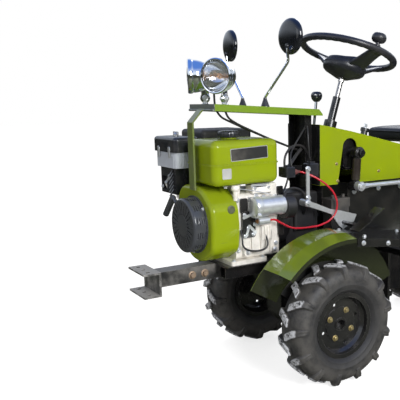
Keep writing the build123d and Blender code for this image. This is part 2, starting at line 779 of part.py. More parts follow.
def make_lamp(lens, turn):
    """A bullet shell behind a bezel ring and a domed lens, on an ear bolted to the tray."""
    rim = lamp_radius - 5
    outline = Polyline(
        (0, 0), (0, -lens_dome), (lamp_radius * 0.6, -lens_dome * 0.6), (rim, 0),
        (rim, -4), (lamp_radius, -4), (lamp_radius, 9), (lamp_radius - 4, 11),
    )
    back = ThreePointArc(
        (lamp_radius - 4, 11), (lamp_radius * 0.72, lamp_length * 0.55), (9, lamp_length)
    )
    tail = Polyline((9, lamp_length), (0, lamp_length), (0, 0))
    lamp = revolve(make_face(Curve() + [*outline.edges(), back, *tail.edges()]), Axis.Y)
    ear_y = lamp_length * 0.36
    tray_below = tray_z(lens[1] + ear_y) - lens[2]
    ear = block((-6, 6), (ear_y - 16, ear_y + 16), (-lamp_radius - 14, -lamp_radius * 0.7))
    ear += rod_x(16, (-6, 6), ear_y, -lamp_radius - 14)
    ear += rod_x(8, (-16, 16), ear_y, -lamp_radius - 14)
    ear += rod_z(6, 0, ear_y, (tray_below - 8, -lamp_radius - 14))
    ear += rod_z(13, 0, ear_y, (tray_below - 8, tray_below + 5))
    gland = rod_z(lamp_cable_radius + 3, 0, lamp_gland_y, (gland_z - lens[2], 0))
    lamp = Pos(*lens) * Rot(0, 0, turn) * (lamp + ear + gland)
    return lamp - under_tray_top


gland_z = 1000
for side, lens, turn in lamp_table:
    save(f"headlamp_{side}", make_lamp(lens, turn))


def make_mirror():
    foot_z = tray_z(mirror_foot[1]) - 6
    head_x, head_y, head_z = mirror_head
    points = [
        (*mirror_foot, foot_z),
        (*mirror_foot, mirror_bend_z[0]),
        (head_x - 3, head_y - 6, mirror_bend_z[1]),
        (head_x - 2, head_y - 6, head_z - mirror_half_height * 0.6),
    ]
    stem = bent_bar(points, 4.5)
    head = extrude(Ellipse(mirror_half_width, mirror_half_height), 11, both=True)
    head = Pos(*mirror_head) * Rot(0, 0, 8) * Rot(90, 0, 0) * head
    head = fillet(head.edges().group_by(Axis.Y)[0], 9)
    boot = Cone(15, 6, 30, align=(Align.CENTER, Align.CENTER, Align.MIN))
    return stem + head + Pos(*mirror_foot, foot_z) * boot - under_tray_top


mirror_shape = make_mirror()
save("mirror_left", mirror_shape)
save("mirror_right", other_side(mirror_shape))

# Console: folded green cover under the steering wheel, cut out on the left for the drop arm
console_line = [
    (console_y[0], console_z),
    (console_y[0], console_front_top),
    console_bend,
    (console_y[1], console_rear_top),
    (console_y[1], console_z),
]
console = side_plate(console_line, (-console_half_width, console_half_width))
hollow_line = [
    (console_y[0] + console_sheet, console_z - 1),
    (console_y[0] + console_sheet, console_front_top - 2 * console_sheet),
    (console_bend[0] - 1, console_bend[1] - console_sheet),
    (console_y[1] - console_sheet, console_rear_top - 1.5 * console_sheet),
    (console_y[1] - console_sheet, console_z - 1),
]
console -= side_plate(hollow_line, (-console_half_width + console_sheet, console_half_width - console_sheet))
arch_y, arch_z = console_arch
slot_line = [
    (console_slot_y[0], console_z - 1),
    (arch_y - console_arch_radius, arch_z),
    (arch_y + console_arch_radius, arch_z),
    (console_slot_y[1], console_z - 1),
]
slot_x = (console_half_width / 2, console_half_width + 5)
console -= side_plate(slot_line, slot_x) + rod_x(console_arch_radius, slot_x, arch_y, arch_z)
save("console", console)

# Tunnel: black covers that close the drive line between the rails and the console
tunnel = block((-tunnel_half_width, tunnel_half_width), tunnel_y, (rail_top, console_z))
tunnel -= block(
    (-tunnel_half_width + tunnel_sheet, tunnel_half_width - tunnel_sheet),
    (tunnel_y[0] + tunnel_sheet, tunnel_y[1] - tunnel_sheet),
    (rail_top - 1, console_z + 1),
)
tunnel -= block((-200, 200), (yoke_y[0] - 1, 600), (rail_top - 1, rail_top + 0.2))
save("tunnel", tunnel)

# Steering: sleeve and shaft, the box inside the console, the dished wheel, drop arm and drag link
column_place = Pos(0, *column_foot) * Rot(-column_lean, 0, 0)
console_block = side_plate(console_line, (-console_half_width, console_half_width))
sleeve = rod_z(sleeve_radius, 0, 0, (-60, sleeve_length)) + rod_z(24, 0, 0, (-60, 5))
sleeve -= rod_z(column_radius + running_gap, 0, 0, (-61, sleeve_length + 1))
sleeve = column_place * sleeve - console_block
save("column_sleeve", sleeve.solids().sort_by(Axis.Z)[-1])
column = column_place * rod_z(column_radius, 0, 0, (0, wheel_hub_along - seat_gap)) - console_block
save("steering_column", column.solids().sort_by(Axis.Z)[-1])

box_y = (arm_pivot[0] - 36, arm_pivot[0] + 40)
box_plate_z = (710, 716)
box_x = (14, 84)
inner_half = console_half_width - console_sheet
boss_x = (console_half_width + arm_gap, console_half_width + arm_gap + arm_boss_length)
steering_box = block(box_x, box_y, (box_plate_z[1], arm_pivot[1] + 46))
steering_box = fillet(steering_box.edges().filter_by(Axis.X), 12)
steering_box += block((-inner_half, inner_half), (box_y[0], box_y[1] + 50), box_plate_z)
steering_box += rod_x(13, (box_x[1], boss_x[0] - seat_gap), *arm_pivot)
save("steering_box", steering_box)


def make_steering_wheel():
    hub = rod_z(steering_hub_radius, 0, 0, (steering_hub_height * 0.35, steering_hub_height))
    hub = fillet(hub.edges().group_by(Axis.Z)[-1], 8)
    hub += Cone(
        28, steering_hub_radius, steering_hub_height * 0.35, align=(Align.CENTER, Align.CENTER, Align.MIN)
    )
    wheel = hub + Pos(0, 0, steering_dish) * Torus(steering_radius, steering_grip)
    spoke_start = steering_hub_radius - 14
    spoke_end = steering_radius - 4
    spoke_line = [
        (spoke_start, steering_hub_height * 0.4),
        (spoke_start, steering_hub_height - 9),
        (spoke_end, steering_dish + 8),
        (spoke_end, steering_dish - 8),
    ]
    spoke = make_face(Polyline(*[(x, 0, z) for x, z in spoke_line], close=True))
    spoke = extrude(spoke, spoke_width / 2, both=True, dir=(0, 1, 0))
    for angle in spoke_angles:
        wheel += Rot(0, 0, angle) * spoke
    knob_z = steering_dish + 38
    knob = rod_z(6, steering_radius, 0, (steering_dish, knob_z))
    knob += Pos(steering_radius, 0, knob_z) * scale(Sphere(spinner_radius), (1, 1, 0.8))
    return wheel + Rot(0, 0, spinner_angle) * knob


save("steering_wheel", column_place * Pos(0, 0, wheel_hub_along) * make_steering_wheel())

drop_arm = rod_x(arm_boss_radius, boss_x, *arm_pivot)
lower_boss_x = (boss_x[0], boss_x[1] - arm_boss_step)
drop_arm += rod_x(arm_boss_radius - 3, lower_boss_x, *arm_ball)
tube_x = sum(lower_boss_x) / 2
tube_line = Line((tube_x, *arm_pivot), (tube_x, *arm_ball))
drop_arm += sweep(Plane(tube_line @ 0, z_dir=tube_line % 0) * Circle(arm_tube_radius), tube_line)
save("drop_arm", drop_arm)

link_x = (lower_boss_x[1] + 1, lower_boss_x[1] + 1 + link_eye_length)
link_middle_x = sum(link_x) / 2
link_z = arm_ball[1]
drag_link = rod_x(link_eye_radius, link_x, *arm_ball)
drag_link += rod_y(link_radius, link_middle_x, (arm_ball[0], link_end_y), link_z)
stud_z = (link_z - link_stud_half_height, link_z + link_stud_half_height)
drag_link += rod_z(link_eye_radius - 2, link_middle_x, link_end_y, stud_z)
save("drag_link", drag_link)


# Fenders: rolled sheet over each wheel, with a plate on the inner side
def make_fender(axle_y, sheet_angles, plate_angles):
    """Angles are taken about the fender's centre, from the rear horizontal, front to rear."""
    outer_x = fender_inner_x + fender_width
    section = [
        (fender_inner_x, fender_radius),
        (fender_crease_x, fender_radius),
        (outer_x, fender_edge_radius),
        (outer_x, fender_edge_radius - fender_lip),
        (outer_x - fender_sheet, fender_edge_radius - fender_lip),
        (outer_x - fender_sheet, fender_edge_radius - fender_sheet),
        (fender_crease_x, fender_radius - fender_sheet),
        (fender_inner_x, fender_radius - fender_sheet),
    ]
    section = make_face(Polyline(*[(x, r, 0) for x, r in section], close=True))
    sheet = revolve(Rot(sheet_angles[1], 0, 0) * section, Axis.X, sheet_angles[0] - sheet_angles[1])
    plate_x = (fender_inner_x, fender_inner_x + fender_sheet)
    plate_width = plate_x[1] - plate_x[0]
    plate = Rectangle(plate_width, fender_radius - plate_inner, align=(Align.MIN, Align.MIN))
    plate = Pos(plate_x[0], plate_inner, 0) * plate
    plate = revolve(Rot(plate_angles[1], 0, 0) * plate, Axis.X, plate_angles[0] - plate_angles[1])
    return Pos(0, axle_y, fender_centre_z) * (sheet + plate)


front_fender = make_fender(0, (fender_front_angle, 85), (150, fender_rear_angle))
board_cut = Pos(0, board_y[0], board_front_z) * Rot(-board_slope, 0, 0) * block(
    (-400, 400), (0, 600), (-board_sheet - 0.5, 200)
)
front_fender -= board_cut
save("fender_front_left", front_fender)
save("fender_front_right", other_side(front_fender))
rear_fender = make_fender(wheelbase, (158, 44), (158, 30))
save("fender_rear_left", rear_fender)
save("fender_rear_right", other_side(rear_fender))

# Footboards: folded plates from the tunnel to the outside, sloping down to the rear
board_x = (124, fender_inner_x + fender_width)
board_length = board_y[1] - board_y[0]
board = block(board_x, (0, board_length), (-board_sheet, 0))
board += block((board_x[1] - board_sheet, board_x[1]), (fender_sheet, board_length), (-board_flange, 0))
board = Pos(0, board_y[0], board_front_z) * Rot(-board_slope, 0, 0) * board
over_board = Pos(0, board_y[0], board_front_z) * Rot(-board_slope, 0, 0) * block(
    (0, 400), (-100, 600), (-board_sheet, 200)
)
board_arm = block((rail_x[1], board_x[1] - 20), (340, 364), (rail_top - 34, rail_top - 10))
board_arm += block((board_x[0] + 10, board_x[0] + 16), (340, 364), (rail_top - 34, 500)) - over_board
board_arm += block((board_x[1] - 26, board_x[1] - 20), (340, 364), (rail_top - 34, 500)) - over_board
board += board_arm
save("footboard_left", board)
save("footboard_right", other_side(board))

# Seat on a boxed pedestal over the rear rails, with the plate that holds the drag link's ball stud
pedestal = block((-pedestal_half_width, pedestal_half_width), pedestal_y, (rail_top, seat_z - seat_gap))
link_plate_top = stud_z[0] - seat_gap
link_plate_line = [
    (link_middle_x - 18, pivot_y - 16),
    (link_middle_x + 16, pivot_y - 16),
    (link_middle_x + 16, pivot_y + 12),
    (pedestal_half_width + 30, pedestal_y[0] + 60),
    (pedestal_half_width - 5, pedestal_y[0] + 60),
    (pedestal_half_width - 5, pedestal_y[0]),
    (link_middle_x - 18, pivot_y + 12),
]
link_plate = Polyline(*[(x, y, link_plate_top) for x, y in link_plate_line], close=True)
pedestal += extrude(make_face(link_plate), 6, dir=(0, 0, -1))
save("seat_pedestal", pedestal)

cushion = block((-seat_half_width, seat_half_width), seat_y, (seat_z, seat_z + seat_thickness))
cushion = fillet(cushion.edges().filter_by(Axis.Z), 60)
cushion = fillet(cushion.edges().group_by(Axis.Z)[-1], 22)
back_lean = Pos(0, seat_y[1] - seat_back_thickness, seat_z + 20) * Rot(-12, 0, 0)
seat_back_x = (-seat_half_width + 25, seat_half_width - 25)
seat_back = block(seat_back_x, (0, seat_back_thickness), (0, seat_back_height))
seat_back = fillet(seat_back.edges().filter_by(Axis.Y).group_by(Axis.Z)[-1], 70)
seat_back = fillet(seat_back.edges().group_by(Axis.Y)[0], 16)
save("seat", cushion + back_lean * seat_back)

# Small things on the front frame: battery, gear lever, switch and pedals
battery_x = (rail_half_gap + 2, 112)
battery_y = (104, 184)
battery_z = (rail_top, 622)
battery = block(battery_x, battery_y, (battery_z[0], battery_z[1] - 12))
lid_z = (battery_z[1] - 46, battery_z[1] - 12)
lid = block((battery_x[0], battery_x[1] + 3), (battery_y[0] - 3, battery_y[1] + 3), lid_z)
battery += fillet(lid.edges().group_by(Axis.Z)[-1], 4)
for post_y in (battery_y[0] + 16, battery_y[1] - 16):
    battery += rod_z(6, 98, post_y, (battery_z[1] - 13, battery_z[1]))
save("battery", battery)

lever_foot = (20, 92, 850)
lever_knob = (20, 107, 975)
lever_line = Line(lever_foot, lever_knob)
gear_lever = sweep(Plane(lever_line @ 0, z_dir=lever_line % 0) * Circle(5), lever_line)
gear_lever += Pos(*lever_knob) * Sphere(16)
gear_lever -= console_block
save("gear_lever", gear_lever)

switch_y = (column_foot[0] + console_y[1]) / 2
console_fall = (console_bend[1] - console_rear_top) / (console_y[1] - console_bend[0])
switch_z = console_bend[1] - (switch_y - console_bend[0]) * console_fall - 5
switch_place = Pos(0, switch_y, switch_z) * Rot(-16, 0, 0)
switch = switch_place * (rod_z(13, 0, 0, (-20, 30)) + rod_z(17, 0, 0, (30, 42)))
save("ignition_switch", switch - console_block)

pedal_pad_line = [(120, 507), (236, 577), (234, 581), (118, 511)]
pedal_pad_x = (198, 250)
pedal_plate_x = (114, 118)


def make_pedal():
    foot_z = (rail_top - 16, rail_top - 10)
    bracket = block((rail_x[1], pedal_plate_x[1]), (112, 172), foot_z)
    plate_line = [(112, foot_z[0]), (172, foot_z[0]), (206, 517), (117, 557), (98, 540)]
    plate = side_plate(plate_line, pedal_plate_x) - rod_x(8, (100, 130), 176, 512)
    shaft = rod_x(8, (pedal_plate_x[0], pedal_pad_x[0] + 30), 150, 521)
    pad = side_plate(pedal_pad_line, pedal_pad_x) - rod_z(9, sum(pedal_pad_x) / 2, 196, (400, 700))
    return bracket + plate + shaft + pad


pedal = make_pedal()
save("pedal_left", pedal)
save("pedal_right", other_side(pedal))

# Cables: the starter's, and one from each headlamp through the tray to the rear post
cable_route = [
    (84, -42, 716),
    (84, -12, 716),
    (104, 25, 700),
    (122, 65, 674),
    (132, 98, 640),
    (134, 115, 598),
    (132, 108, 560),
    (130, 80, 535),
    (129, 35, 523),
    (127, -20, 522),
    (128, -80, 527),
    (128, -128, 553),
    (128, -150, 567),
    (128, -176, 567),
]
lamp_routes = {
    "left": [
        (24, -275.6, 1000),
        (24, -275.6, 968),
        (23.5, -274, 936),
        (26, -262, 905),
        (29, -222, 882),
        (31, -165, 857),
        (30, -108, 833),
        (31, -52, 812),
        (30, -4, 794),
        (30, 24, 784),
        (30, 56, 784),
    ],
    "right": [
        (-45, -274.6, 1000),
        (-45, -274.6, 968),
        (-43.5, -273, 936),
        (-26, -262, 908),
        (2, -222, 884),
        (17, -165, 858),
        (20, -108, 834),
        (19, -52, 813),
        (20, -4, 795),
        (20, 24, 785),
        (20, 56, 785),
    ],
}
for name, route in (("starter cable", cable_route), *lamp_routes.items()):
    print(name, "bend radii", [round(radius) for radius in bend_radii(route)])
for side, route in lamp_routes.items():
    save(f"lamp_cable_{side}", bent_bar(route, lamp_cable_radius))
save("starter_cable", bent_bar(cable_route, 3.5))
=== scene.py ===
"""Looks of a small articulated tractor with an open engine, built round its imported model.

Sizes are in metres. X points to the machine's left, Y to its rear, Z up, with the origin on the
ground at the middle of the length.
"""
from math import atan2, cos, dist, pi, radians, sin, sqrt, tan

import bmesh
import bpy
from mathutils import Matrix, Vector


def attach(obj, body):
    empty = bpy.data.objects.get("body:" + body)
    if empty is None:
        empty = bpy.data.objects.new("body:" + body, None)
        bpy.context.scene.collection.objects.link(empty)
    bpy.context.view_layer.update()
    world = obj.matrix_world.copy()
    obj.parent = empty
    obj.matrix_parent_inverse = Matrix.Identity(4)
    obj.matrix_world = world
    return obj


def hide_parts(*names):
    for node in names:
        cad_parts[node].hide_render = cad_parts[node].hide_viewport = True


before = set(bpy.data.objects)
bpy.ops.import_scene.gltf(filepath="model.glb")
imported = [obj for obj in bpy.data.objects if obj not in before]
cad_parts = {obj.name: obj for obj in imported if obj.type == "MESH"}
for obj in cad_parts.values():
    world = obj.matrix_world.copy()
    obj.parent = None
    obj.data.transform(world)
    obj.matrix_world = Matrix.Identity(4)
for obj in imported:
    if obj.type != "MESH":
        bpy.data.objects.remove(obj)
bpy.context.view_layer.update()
scene = bpy.context.scene


# Camera: stands to the left of the machine's nose, a little above the engine. The lens is shifted,
# as the picture shows the machine right of its middle.
def at(x, y, z):
    return Matrix.Translation((x, y, z))


def spin(angle, axis="Z"):
    return Matrix.Rotation(angle, 4, axis)


camera_data = bpy.data.cameras.new("camera")
camera_data.sensor_width = 36
camera_data.lens = 58.64
camera_data.shift_x = -0.2241
camera_data.shift_y = 0.0558
camera = bpy.data.objects.new("camera", camera_data)
scene.collection.objects.link(camera)
heading, tilt, roll = radians(56.1423), radians(79.4955), radians(-0.7141)
camera.matrix_world = at(1.9572, -1.6171, 0.9579) @ spin(heading) @ spin(tilt, "X") @ spin(roll)
scene.camera = camera
scene.view_settings.view_transform = "Standard"


# Studio: a pale floor and plain white light from a key on the machine's left, a weak lamp in front
# and one behind. Shiny parts see a blue sky over a dark horizon.
def node(tree, kind, properties=(), **sockets):
    """A shader node. A socket is named, or _0, _1 by place, and takes a value, a socket or a node."""
    made = tree.nodes.new("ShaderNode" + kind)
    for key, value in dict(properties).items():
        setattr(made, key, value)
    for key, value in sockets.items():
        socket = made.inputs[int(key[1:])] if key[0] == "_" else made.inputs[key.replace("_", " ")]
        if isinstance(value, bpy.types.Node):
            value = value.outputs[0]
        if isinstance(value, bpy.types.NodeSocket):
            tree.links.new(value, socket)
        else:
            socket.default_value = value
    return made


def new_tree(owner):
    """The emptied node tree of a material or world."""
    owner.use_nodes = True
    owner.node_tree.nodes.clear()
    return owner.node_tree


def calculate(tree, operation, first, second):
    made = node(tree, "Math", {"operation": operation, "use_clamp": True}, _0=first, _1=second)
    return made.outputs[0]


def mix(tree, factor, first, second):
    """Two colours by a factor."""
    return node(tree, "Mix", {"data_type": "RGBA"}, _0=factor, _6=first, _7=second).outputs[2]


def ramp(tree, value, low, high):
    """0 up to low, 1 from high, and smooth between."""
    smooth = {"interpolation_type": "SMOOTHSTEP"}
    return node(tree, "MapRange", smooth, Value=value, From_Min=low, From_Max=high).outputs["Result"]


def upness(tree):
    """How far the surface faces the sky."""
    return node(tree, "SeparateXYZ", Vector=node(tree, "NewGeometry").outputs["Normal"]).outputs["Z"]


white = (1, 1, 1, 1)
scene.world = bpy.data.worlds.new("studio")
tree = new_tree(scene.world)
rays = node(tree, "LightPath").outputs
height = node(tree, "SeparateXYZ", Vector=node(tree, "TexCoord").outputs["Generated"]).outputs["Z"]
sky = mix(tree, ramp(tree, height, 0.3, 0.9), (0.8, 0.88, 1, 1), (0.1, 0.24, 0.7, 1))
sky = mix(tree, ramp(tree, height, 0.06, 0.2), (0.035, 0.04, 0.03, 1), sky)
soft_light = node(tree, "Background", Color=white, Strength=0.36)
bright_sky = node(tree, "Background", Color=sky, Strength=1.1)
white_sky = node(tree, "Background", Color=white, Strength=1.0)
seen_in_gloss = calculate(tree, "ADD", rays["Is Glossy Ray"], rays["Is Transmission Ray"])
light = node(tree, "MixShader", Fac=seen_in_gloss, _1=soft_light, _2=bright_sky)
light = node(tree, "MixShader", Fac=rays["Is Camera Ray"], _1=light, _2=white_sky)
node(tree, "OutputWorld", Surface=light)

floor_finish = bpy.data.materials.new("floor")
tree = new_tree(floor_finish)
rays = node(tree, "LightPath").outputs
ground = mix(tree, rays["Is Glossy Ray"], (0.82, 0.82, 0.82, 1), (0.16, 0.17, 0.13, 1))
matt = node(tree, "BsdfDiffuse", Color=ground)
seen_glow = calculate(tree, "MULTIPLY", rays["Is Camera Ray"], 0.74)
glow = node(tree, "Emission", Color=white, Strength=seen_glow)
node(tree, "OutputMaterial", Surface=node(tree, "AddShader", _0=matt, _1=glow))
floor_mesh = bpy.data.meshes.new("floor")
reach = 30
corners = ((-reach, -reach, 0), (reach, -reach, 0), (reach, reach, 0), (-reach, reach, 0))
floor_mesh.from_pydata(corners, [], [(0, 1, 2, 3)])
floor_mesh.materials.append(floor_finish)
floor = bpy.data.objects.new("floor", floor_mesh)
scene.collection.objects.link(floor)

lit_middle = Vector((0, 0, 0.5))
for name, place, size, watts in (
    ("key", (3.6, -0.5, 2.1), 1.4, 125),
    ("front_fill", (0.4, -4.2, 1.9), 2.2, 13),
    ("rear_rim", (-2.2, 3.0, 3.0), 2.0, 46),
):
    lamp_data = bpy.data.lights.new(name, "AREA")
    lamp_data.size = size
    lamp_data.energy = watts
    lamp = bpy.data.objects.new(name, lamp_data)
    scene.collection.objects.link(lamp)
    lamp.location = place
    lamp.rotation_euler = (lit_middle - Vector(place)).to_track_quat("-Z", "Y").to_euler()


# Black-painted steel: the frame, beam and brackets in satin black over folded and welded steel.
# Paint thins and rubs off along the edges, and road dust lies on what faces up. On the beam and
# the brackets the pale tops are dust and also a painted reflection of the sky.
def new_group(name, inputs, output, kind="Float"):
    """A node group with inputs of those values and one output: its tree and its inputs' sockets."""
    tree = bpy.data.node_groups.new(name, "ShaderNodeTree")
    for socket, value in inputs.items():
        kind_in = "NodeSocketColor" if isinstance(value, tuple) else "NodeSocketFloat"
        tree.interface.new_socket(socket, in_out="INPUT", socket_type=kind_in).default_value = value
    tree.interface.new_socket(output, in_out="OUTPUT", socket_type="NodeSocket" + kind)
    return tree, tree.nodes.new("NodeGroupInput").outputs


def give_out(tree, name, value):
    tree.links.new(value, tree.nodes.new("NodeGroupOutput").inputs[name])


def use_group(tree, group, name, **sockets):
    return node(tree, "Group", {"node_tree": group}, **sockets).outputs[name]


def noise(tree, scale, detail, **more):
    """Cloudy noise over the piece."""
    place = node(tree, "TexCoord").outputs["Object"]
    return node(tree, "TexNoise", Vector=place, Scale=scale, Detail=detail, **more).outputs[0]


worn_edge_and_highlight, given = new_group("worn edge and highlight", {"Radius": 0.0015, "Amount": 1.0}, "Mask")
bevelled = node(worn_edge_and_highlight, "Bevel", {"samples": 4}, Radius=given["Radius"])
flat = node(worn_edge_and_highlight, "NewGeometry").outputs["Normal"]
dot = {"operation": "DOT_PRODUCT"}
bend = node(worn_edge_and_highlight, "VectorMath", dot, _0=bevelled, _1=flat).outputs["Value"]
edge = calculate(worn_edge_and_highlight, "MULTIPLY", calculate(worn_edge_and_highlight, "SUBTRACT", 1.0, bend), 5.0)
chips = ramp(worn_edge_and_highlight, noise(worn_edge_and_highlight, 160, 4), 0.42, 0.6)
edge = calculate(worn_edge_and_highlight, "MULTIPLY", edge, chips)
give_out(worn_edge_and_highlight, "Mask", calculate(worn_edge_and_highlight, "MULTIPLY", edge, given["Amount"]))

# Dust film: patches, and a layer on what faces up. Where a finish raises that layer and makes it pale, it
# also paints the sky's reflection on the tops.
dust_sockets = {"Amount": 0.5, "Patch Scale": 9.0, "Upward": 0.6}
dust_and_sheen_film, given = new_group("dust and sheen film", dust_sockets, "Mask")
patches = ramp(dust_and_sheen_film, noise(dust_and_sheen_film, given["Patch Scale"], 7, Roughness=0.62), 0.38, 0.7)
lying_dust_and_sheen = calculate(dust_and_sheen_film, "MULTIPLY", ramp(dust_and_sheen_film, upness(dust_and_sheen_film), 0.1, 0.95), given["Upward"])
cover = calculate(dust_and_sheen_film, "ADD", patches, lying_dust_and_sheen)
give_out(dust_and_sheen_film, "Mask", calculate(dust_and_sheen_film, "MULTIPLY", cover, given["Amount"]))

mottle_sockets = {"Color": (0.5, 0.5, 0.5, 1), "Spread": 0.15, "Scale": 12.0}
mottle, given = new_group("mottle", mottle_sockets, "Color", "Color")
swing = calculate(mottle, "MULTIPLY", noise(mottle, given["Scale"], 5, Roughness=0.6), given["Spread"])
darker = node(mottle, "HueSaturation", Color=given["Color"], Value=0.62)
share = calculate(mottle, "MULTIPLY", swing, 2.0)
give_out(mottle, "Color", mix(mottle, share, given["Color"], darker.outputs[0]))

grain, given = new_group("grain", {"Scale": 400.0, "Detail": 4.0}, "Height")
give_out(grain, "Height", noise(grain, given["Scale"], given["Detail"]))

road_dust = (0.23, 0.205, 0.17, 1)


def finish(name, colour, roughness, grain_scale=500, grain_depth=0.0001, spread=0.2, dust=0.15,
           dust_and_painted_light_colour=road_dust, upward=0.6, wear=0.0, worn=(0.3, 0.3, 0.3), patch=9.0, slot=None,
           **plain):
    """A material of mottled colour under dust, with worn edges and a grained skin. In some finishes
    the dust and the edges also carry painted light: sheen, shade and highlights.
    """
    made = bpy.data.materials.new(name)
    tree = new_tree(made)
    base = use_group(tree, mottle, "Color", Color=(*colour, 1), Spread=spread, Scale=patch)
    film = use_group(tree, dust_and_sheen_film, "Mask", Amount=dust, Patch_Scale=patch, Upward=upward)
    base = mix(tree, film, base, dust_and_painted_light_colour)
    if wear:
        base = mix(tree, use_group(tree, worn_edge_and_highlight, "Mask", Amount=wear), base, (*worn, 1))
    rough = calculate(tree, "ADD", calculate(tree, "MULTIPLY", film, 0.5), roughness)
    height = use_group(tree, grain, "Height", Scale=grain_scale)
    skin_bump = node(tree, "Bump", Strength=0.6, Distance=grain_depth, Height=height)
    shader = node(tree, "BsdfPrincipled", Base_Color=base, Roughness=rough, Normal=skin_bump, **plain)
    node(tree, "OutputMaterial", Surface=shader)
    return made


def dress(names, material):
    """CAD nodes in that material."""
    for name in names:
        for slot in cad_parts[name].material_slots:
            slot.material = material


black_paint = finish(
    "satin_black_paint", (0.008, 0.008, 0.009), 0.22, 700, dust=0.06, wear=0.8,
    worn=(0.2, 0.19, 0.18), slot="black_paint", Coat_Weight=0.25, Coat_Roughness=0.15,
)
dress((
    "front_frame", "rear_frame", "front_axle", "rear_axle", "rear_post", "tunnel", "seat_pedestal",
    "steering_box", "footboard_left", "footboard_right",
), black_paint)
# Beam and brackets: the pale dust on their tops is dust and also a painted reflection of the sky.
road_paint_with_sheen = finish(
    "scuffed_black_paint_with_sheen", (0.02, 0.02, 0.021), 0.3, 500, 0.0002, dust=0.42, upward=1.4, wear=1.0,
    worn=(0.4, 0.38, 0.36), patch=14, dust_and_painted_light_colour=(0.36, 0.34, 0.31, 1),
)
dress(("front_beam",), road_paint_with_sheen)
bracket_paint_with_sheen = finish(
    "worn_bracket_paint_with_sheen", (0.09, 0.088, 0.085), 0.3, 500, 0.0002, spread=0.6, dust=0.6, upward=1.0,
    wear=1.0, worn=(0.5, 0.48, 0.45), patch=26, dust_and_painted_light_colour=(0.55, 0.53, 0.5, 1),
)
dress(("front_bracket", "rear_bracket"), bracket_paint_with_sheen)

# Green sheet metal: tank, fan housing, tray, post and console in glossy lime enamel, sprayed over
# pressed sheet. The front post carries dust, and its darker green is painted shade.
green_paint = finish(
    "lime_enamel", (0.28, 0.36, 0.005), 0.24, 260, 0.00006, dust=0.04, wear=0.5,
    worn=(0.5, 0.56, 0.2), Coat_Weight=0.2, Coat_Roughness=0.05, Specular_IOR_Level=0.2,
)
dress(("fuel_tank", "fan_housing", "console"), green_paint)
tray_green = finish(
    "tray_enamel", (0.19, 0.31, 0.02), 0.24, 260, 0.00006, spread=0.22, dust=0.06, wear=0.7,
    worn=(0.4, 0.5, 0.2), Coat_Weight=0.35, Coat_Roughness=0.05,
)
dress(("hood_tray",), tray_green)
# Front post: a darker copy of the lime enamel, which is painted shade, under a layer of dust.
shaded_dusty_green = finish(
    "shaded_dusty_lime_enamel", (0.15, 0.2, 0.04), 0.3, 260, spread=0.4, dust=0.3, wear=0.7,
    worn=(0.42, 0.5, 0.12), Coat_Weight=0.4, Coat_Roughness=0.1,
)
dress(("front_post",), shaded_dusty_green)


# Fenders: green enamel outside. Every face that doesn't face up, the underside and the inner plate
# among them, is near black as painted shade. Behind the inner plates black sheets finished like
# rubber close the gap over the tyres; they are dark sheets that stand for the shade there.
def fender_finish():
    made = finish(
        "fender_enamel", (0.17, 0.24, 0.008), 0.18, 260, spread=0.35, dust=0.08, wear=0.7,
        worn=(0.42, 0.5, 0.12), Coat_Weight=0.6, Coat_Roughness=0.06,
    )
    tree = made.node_tree
    colour = next(n for n in tree.nodes if n.type == "BSDF_PRINCIPLED").inputs["Base Color"]
    # Painted shade: faces that don't face up turn near black.
    painted_shade_colour = (0.018, 0.022, 0.008, 1)
    paint = mix(tree, ramp(tree, upness(tree), 0.02, 0.06), painted_shade_colour, colour.links[0].from_socket)
    tree.links.new(paint, colour)
    return made


def skin(bm, rings, closed=False):
    """Faces between rings of points, with a cap at each end, or joined end to end."""
    count = len(rings[0])
    for first, second in zip(rings, rings[1:] + rings[:1] if closed else rings[1:]):
        for n in range(count):
            m = (n + 1) % count
            bm.faces.new((first[n], first[m], second[m], second[n]))
    if not closed:
        bm.faces.new(rings[0][::-1])
        bm.faces.new(rings[-1])


def make_mesh(name, bm, sharp=35):
    bmesh.ops.recalc_face_normals(bm, faces=bm.faces)
    mesh = bpy.data.meshes.new(name)
    bm.to_mesh(mesh)
    bm.free()
    mesh.shade_smooth()
    mesh.set_sharp_from_angle(angle=radians(sharp))
    return mesh


def add_piece(name, data, material, body="front_half", place=None):
    """A piece of the machine that rides on a body, with the finish in its slot."""
    piece = bpy.data.objects.new(name, data)
    scene.collection.objects.link(piece)
    if place:
        piece.matrix_world = place
    piece.data.materials.append(material)
    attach(piece, body)
    return piece


def add_mesh(name, bm, material, body="front_half", slot=None, sharp=35, place=None):
    return add_piece(name, make_mesh(name, bm, sharp), material, body, place)


fender_paint = fender_finish()
dress([f"fender_{end}_{side}" for end in ("front", "rear") for side in ("left", "right")], fender_paint)
# The flaps are dark sheets that stand for the shade between fender and tyre.
shade_flap_finish = finish(
    "black_shade_flap", (0.012, 0.012, 0.012), 0.5, 400, 0.0002, dust=0.2, slot="tyre_rubber"
)
wheel_y = {"front": -0.3, "rear": 0.6}
flap_middle = 0.188
flap_section = ((0.19, 0.1955), (0.19, 0.1975), (0.305, 0.1975), (0.305, 0.1955))  # radius, x
for end, axle_y in wheel_y.items():
    bm = bmesh.new()
    for hand in (-1, 1):
        rows = []
        for degrees in range(38, 143, 4):
            out, up = cos(radians(degrees)), sin(radians(degrees))
            row = [(hand * x, axle_y + r * out, flap_middle + r * up) for r, x in flap_section]
            rows.append([bm.verts.new(point) for point in row])
        skin(bm, rows)
    add_mesh(f"fender_shade_flap_{end}", bm, shade_flap_finish, f"{end}_half", sharp=1)


# Wheels: lugged rubber tyres on black rims of two pressed halves. The tread is worn pale where it
# met the road, and the walls hold dust.
def circle(radius, count, first=0.0):
    """Points evenly round a circle, from an angle in degrees."""
    turns = [radians(first) + 2 * pi * n / count for n in range(count)]
    return [(radius * cos(turn), radius * sin(turn)) for turn in turns]


